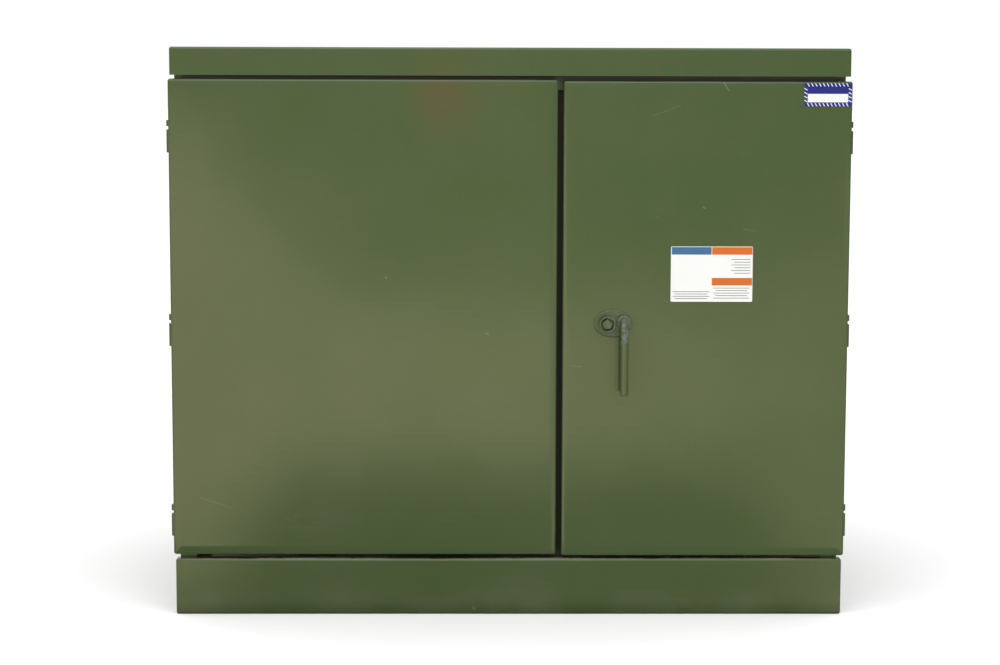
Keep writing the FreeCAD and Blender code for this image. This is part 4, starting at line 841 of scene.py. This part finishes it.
def door_seal():
    """A black strip on the frame behind the doors, put there as painted shade for the gaps: a shallow rounded bar
    along the header and down each jamb. The header's strip fills the gap between the doors' top edge and the hood."""
    low, high = span("header_rail")
    door_low, door_high = span("left_door")
    thickness, softness = 3 * MM, 1.2 * MM
    face, top, foot = low[1], door_high[2], door_low[2] + 0.02
    jamb_top = top - 0.012
    strips = [(high[0] - low[0] + 0.05, 0.0155, 0.0, top + 1.5 * MM)]
    strips += [(0.014, jamb_top - foot, side * (high[0] + 0.022), (foot + jamb_top) / 2) for side in (-1, 1)]
    shapes = [plate(width, height, thickness, 3 * MM, (x, face, z), softness) for width, height, x, z in strips]
    piece("door_seal", shapes, "cabinet", "elbow_rubber")


gauge_dial("level_gauge", ["0", "1", "2", "3", "4"], 30.0, 90.0)
gauge_dial("thermometer", ["0", "20", "40", "60", "80", "100", "120"], -70.0)
gauge_dial("pressure_gauge", ["10", "5", "0", "5", "10"], 4.0)
bushing_nuts()
position_plates()
data_plate_rivets()
door_seal()


# ---- doors
BEND = 0.0065


def sheet_bow(points, low, high):
    """How far a door sheet bows from flat: a few slow sine products, which fade out at the bends and round the
    lock and handle."""
    x, z = points[:, 0], points[:, 2]
    wave = 0.20 * np.sin(5.1 * x + 0.6) * np.sin(4.3 * z - 0.9)
    wave += 0.10 * np.sin(9.7 * x - 1.9 + 2.3 * z) + 0.06 * np.sin(15.0 * z + 3.1 * x) * np.sin(11.0 * x + 0.4)
    wave += 0.02 * np.sin(31.0 * x + 7.0 * z) * np.sin(27.0 * z - 5.0 * x)
    from_lock = (x - 0.285) ** 2 + (z - 0.80) ** 2
    away = 1 - np.exp(-from_lock / 0.15**2)
    edge = np.minimum(np.minimum(x - low[0], high[0] - x), np.minimum(z - low[2], high[2] - z))
    fade = np.clip((edge - BEND) / 0.12, 0, 1)
    return wave * MM * away * fade * fade * (3 - 2 * fade)


def folded_door(name, node, body, sheet=0.003):
    """A door folded from one sheet. Rings of a rounded rectangle run from the middle of the inner face to its edge,
    round the inner bend, back along the flange, over its rim, forward outside it, round the outer bend and in
    across the front to the middle. Each section gives a ring's share of full size, its inset and its depth. The
    face rings bow with the sheet, which fades out at the bends."""
    low, high = span(node)
    centre = (low + high) / 2
    width, front, back, height = high[0] - low[0], low[1], high[1], high[2] - low[2]
    turn = np.linspace(0, math.pi / 2, 6)
    inner_bend = BEND - sheet
    shares = np.linspace(0.02, 1, 34)
    sections = [(k, BEND, front + sheet) for k in shares]
    for a in turn[1:]:
        sections.append((1, sheet + inner_bend * (1 - math.sin(a)), front + sheet + inner_bend * (1 - math.cos(a))))
    sections += [(1, sheet, back), (1, 0.0, back)]
    sections += [(1, BEND * (1 - math.sin(a)), front + BEND * (1 - math.cos(a))) for a in turn[::-1]]
    sections += [(k, BEND, front) for k in shares[::-1][1:]]
    rings = []
    for share, inset, y in sections:
        corner = max(BEND - inset, 1.2 * MM)
        flat = rounded_outline(width - 2 * inset, height - 2 * inset, corner, 5, 30) * share
        ring = stood_up(flat, centre[0], y, centre[2])
        ring[:, 1] += sheet_bow(ring, low, high)
        rings.append(ring)
    piece(name, [loft(rings)], body, "green_enamel", replaces=(node,), smooth=50)


folded_door("wide_door_sheet", "left_door", "left_leaf")
folded_door("narrow_door_sheet", "right_door", "right_leaf")


# ---- stickers
def on_narrow_door(right, top, width, height):
    """The middle of a rectangle given by its distance from the narrow door's right and top edges."""
    low, high = span("right_door")
    return np.array([high[0] - right - width / 2, low[1], high[2] - top - height / 2])


def laid(name, shapes, material, lift=0.3 * MM):
    """A piece made of thin shapes, bent to the narrow door's bow and lifted off it."""
    low, high = span("right_door")
    bent = []
    for points, faces in shapes:
        points = points.copy()
        points[:, 1] += sheet_bow(points, low, high) - lift
        bent.append((points, faces))
    piece(name, bent, "right_leaf", "green_enamel", material)


def sticker(name, right, top, width, height, material, lift=0.0, thickness=0.0003, radius=0.003):
    """A thin vinyl sheet laid on the narrow door, with its corners rounded."""
    middle = on_narrow_door(right, top, width, height)
    laid(name, [plate(width, height, thickness, radius, middle, steps=5, along=12, inner=6)], material, lift)


def ruled_lines(name, rows, material):
    """Thin printed rules, each given by its distance from the door's right and top edges, its length and height."""
    shapes = []
    for right, top, length, height in rows:
        middle = on_narrow_door(right, top, length, height)
        shapes.append(plate(length, height, 0.1 * MM, height * 0.3, middle, steps=3, along=6))
    laid(name, shapes, material)


def striped_edge(name, right, top, width, height, border, pitch, material):
    """A border of slanting stripes round a sticker: bars a quarter of the pitch wide, sheared across the border."""
    middle = on_narrow_door(right, top, width, height)
    half, slant = pitch * 0.12, 0.55
    box = np.array([(-half, -1), (half, -1), (half, 1), (-half, 1)])
    stripes = []
    for x in np.arange(-width / 2 + pitch, width / 2 - pitch / 2, pitch):
        stripes += [(x, side * (height - border) / 2, (1.0, 0.0), (-slant, 1.0)) for side in (-1, 1)]
    for z in np.arange(-height / 2 + border + pitch / 2, height / 2 - border, pitch):
        stripes += [(side * (width - border) / 2, z, (0.0, 1.0), (1.0, -slant)) for side in (-1, 1)]
    shapes = []
    for x, z, across, over in stripes:
        corners = box[:, :1] * across + box[:, 1:] * np.array(over) * border / 2
        ring = stood_up(corners, x, 0, z) + middle
        shapes.append(loft([ring, ring - (0, 0.1 * MM, 0)]))
    laid(name, shapes, material)


sticker("large_sticker", 0.2620, 0.4440, 0.2215, 0.150, "sticker_white")
for band, right, top, width, material in (
    ("left", 0.3738, 0.4455, 0.1077, "sticker_slate"),
    ("right", 0.2630, 0.4455, 0.1093, "sticker_orange"),
    ("lower", 0.2630, 0.5290, 0.1093, "sticker_orange"),
):
    sticker("large_sticker_" + band + "_band", right, top, width, 0.0205, material, 0.3 * MM, 0.1 * MM, 0.8 * MM)
ruled_lines(
    "large_sticker_rules",
    [(0.378 + 0.006 * (k % 2), 0.566 + 0.0062 * k, 0.100 - 0.012 * (k % 2), 0.0016) for k in range(4)]
    + [(0.268, 0.478 + 0.0075 * k, 0.052 - 0.008 * (k % 2), 0.0016) for k in range(6)]
    + [(0.270 + 0.006 * (k % 2), 0.556 + 0.0068 * k, 0.098 - 0.012 * (k % 2), 0.0016) for k in range(5)],
    "sticker_ink",
)
sticker("small_sticker", 0.0030, 0.0045, 0.1275, 0.0615, "sticker_blue")
sticker("small_sticker_field", 0.0125, 0.0330, 0.1085, 0.0225, "sticker_white", 0.3 * MM, 0.1 * MM, 1.5 * MM)
striped_edge("small_sticker_edge", 0.0030, 0.0045, 0.1275, 0.0615, 0.0085, 0.0105, "sticker_white")


# ---- floor, light and camera
def floor():
    """A plain pale floor."""
    tree, shader = blank_material("pale_floor")
    cloud = placed(tree, "mottle", scale=0.8, amount=0.04)
    value = plus(tree, cloud, 0.88)
    tone = add(tree, "CombineColor", {0: value, 1: value, 2: value}).outputs[0]
    tree.links.new(tone, shader.inputs["Base Color"])
    shader.inputs["Roughness"].default_value = 0.9
    shader.inputs["Specular IOR Level"].default_value = 0.1
    mesh, reach = bpy.data.meshes.new("floor"), 60.0
    corners = [(-reach, -reach, 0), (reach, -reach, 0), (reach, reach, 0), (-reach, reach, 0)]
    mesh.from_pydata(corners, [], [(0, 1, 2, 3)])
    mesh.materials.append(FINISH["pale_floor"])
    ground = linked("floor", mesh)
    ground.visible_glossy = False


def studio_world():
    """A bright even studio. What gloss sees is a pale ceiling over a dim horizon, and below it a warm band of
    floor that the paint mirrors: soft steps in elevation whose upper edge rises towards both sides."""
    world = bpy.data.worlds.new("studio")
    bpy.context.scene.world = world
    world.use_nodes = True
    tree = world.node_tree
    tree.nodes.clear()
    parts = add(tree, "SeparateXYZ", {0: add(tree, "TexCoord").outputs["Generated"]}).outputs
    rise = maths(tree, "DEGREES", maths(tree, "ARCSINE", parts["Z"]))
    turn = maths(tree, "DEGREES", maths(tree, "ARCTAN2", parts["X"], times(tree, parts["Y"], -1.0)))
    horizon, ceiling, band, near_floor = (
        rgb(0.66, 0.76, 0.38), rgb(1.5, 1.5, 1.45), rgb(2.15, 1.85, 1.18), rgb(0.06, 0.07, 0.04)
    )
    left_side, right_side, shade = rgb(0.50, 0.55, 0.40), rgb(0.10, 0.12, 0.08), rgb(0.0, 0.03, 0.0)
    climb = plus(tree, ramp(tree, turn, -2.6, -7.4, 0.0, 4.6), ramp(tree, turn, 6.5, 11.5, 0.0, 3.2))
    upper = ramp(tree, maths(tree, "SUBTRACT", rise, climb), -5.2, -6.8)
    fall = plus(tree, ramp(tree, turn, -4.6, -6.8, 0.0, 3.0), ramp(tree, turn, 6.9, 9.6, 0.0, 4.4))
    lower = ramp(tree, plus(tree, rise, fall), -9.6, -10.6)
    mirrored = mixed(tree, ramp(tree, rise, 2.0, 24.0), horizon, ceiling)
    wide = ramp(tree, maths(tree, "ABSOLUTE", turn), 34.0, 72.0, 0.0, 0.85)
    beside = mixed(tree, ramp(tree, turn, -20.0, 20.0), left_side, right_side)
    for share, colour in (
        (upper, band),
        (lower, near_floor),
        (ramp(tree, turn, 0.0, 7.5, 0.0, 0.36), shade),
        (ramp(tree, turn, 7.2, 9.2, 0.0, 0.22), shade),
        (times(tree, wide, ramp(tree, rise, 6.0, -3.0)), beside),
    ):
        mirrored = mixed(tree, share, mirrored, colour)
    path = add(tree, "LightPath").outputs
    shown = mixed(tree, path["Is Glossy Ray"], rgb(1.30, 1.30, 1.30), mirrored)
    shown = mixed(tree, path["Is Camera Ray"], shown, rgb(1.0, 1.0, 1.0))
    back = add(tree, "Background", {"Color": shown})
    tree.links.new(back.outputs[0], add(tree, "OutputWorld").inputs["Surface"])


def posed(made, place, *axes):
    """An object put at a place, with its own x, y and z along three directions."""
    made.matrix_world = Matrix.Translation(place) @ Matrix(np.stack(axes, -1).tolist()).to_4x4()
    return made


def soft_light(name, place, aim, size, power):
    """A rectangular soft light that looks from its place at its aim."""
    data = bpy.data.lights.new(name, "AREA")
    data.shape, data.size, data.size_y, data.energy = "RECTANGLE", *size, power
    along, across, over = axes_for(np.subtract(place, aim))
    return posed(linked(name, data), place, across, over, along)


def camera():
    """The camera: level with the hood, 6.2 m in front of the doors, looking slightly down and to the right."""
    place = (-0.1063, span("right_door")[0][1] - 6.2, 1.5229)
    pitch, yaw, roll = (math.radians(a) for a in (6.830, 0.733, 0.171))
    ahead = np.array([math.sin(yaw) * math.cos(pitch), math.cos(yaw) * math.cos(pitch), -math.sin(pitch)])
    level = np.array([math.cos(yaw), -math.sin(yaw), 0.0])
    upright = np.cross(level, ahead)
    right = math.cos(roll) * level + math.sin(roll) * upright
    up = math.cos(roll) * upright - math.sin(roll) * level
    data = bpy.data.cameras.new("camera")
    data.lens, data.sensor_width = 82.94, 36.0
    bpy.context.scene.camera = posed(linked("camera", data), place, right, up, -ahead)


floor()
studio_world()
soft_light("ceiling_light", (-0.4, -3.0, 5.0), (0, 0, 0.8), (6.0, 3.0), 90)
low_light = soft_light("low_light", (1.25, -3.9, 0.14), (0.31, -0.6, 0.75), (0.35, 0.2), 55)
low_light.visible_glossy = low_light.visible_camera = False
camera()
bpy.context.scene.view_settings.view_transform = "Standard"
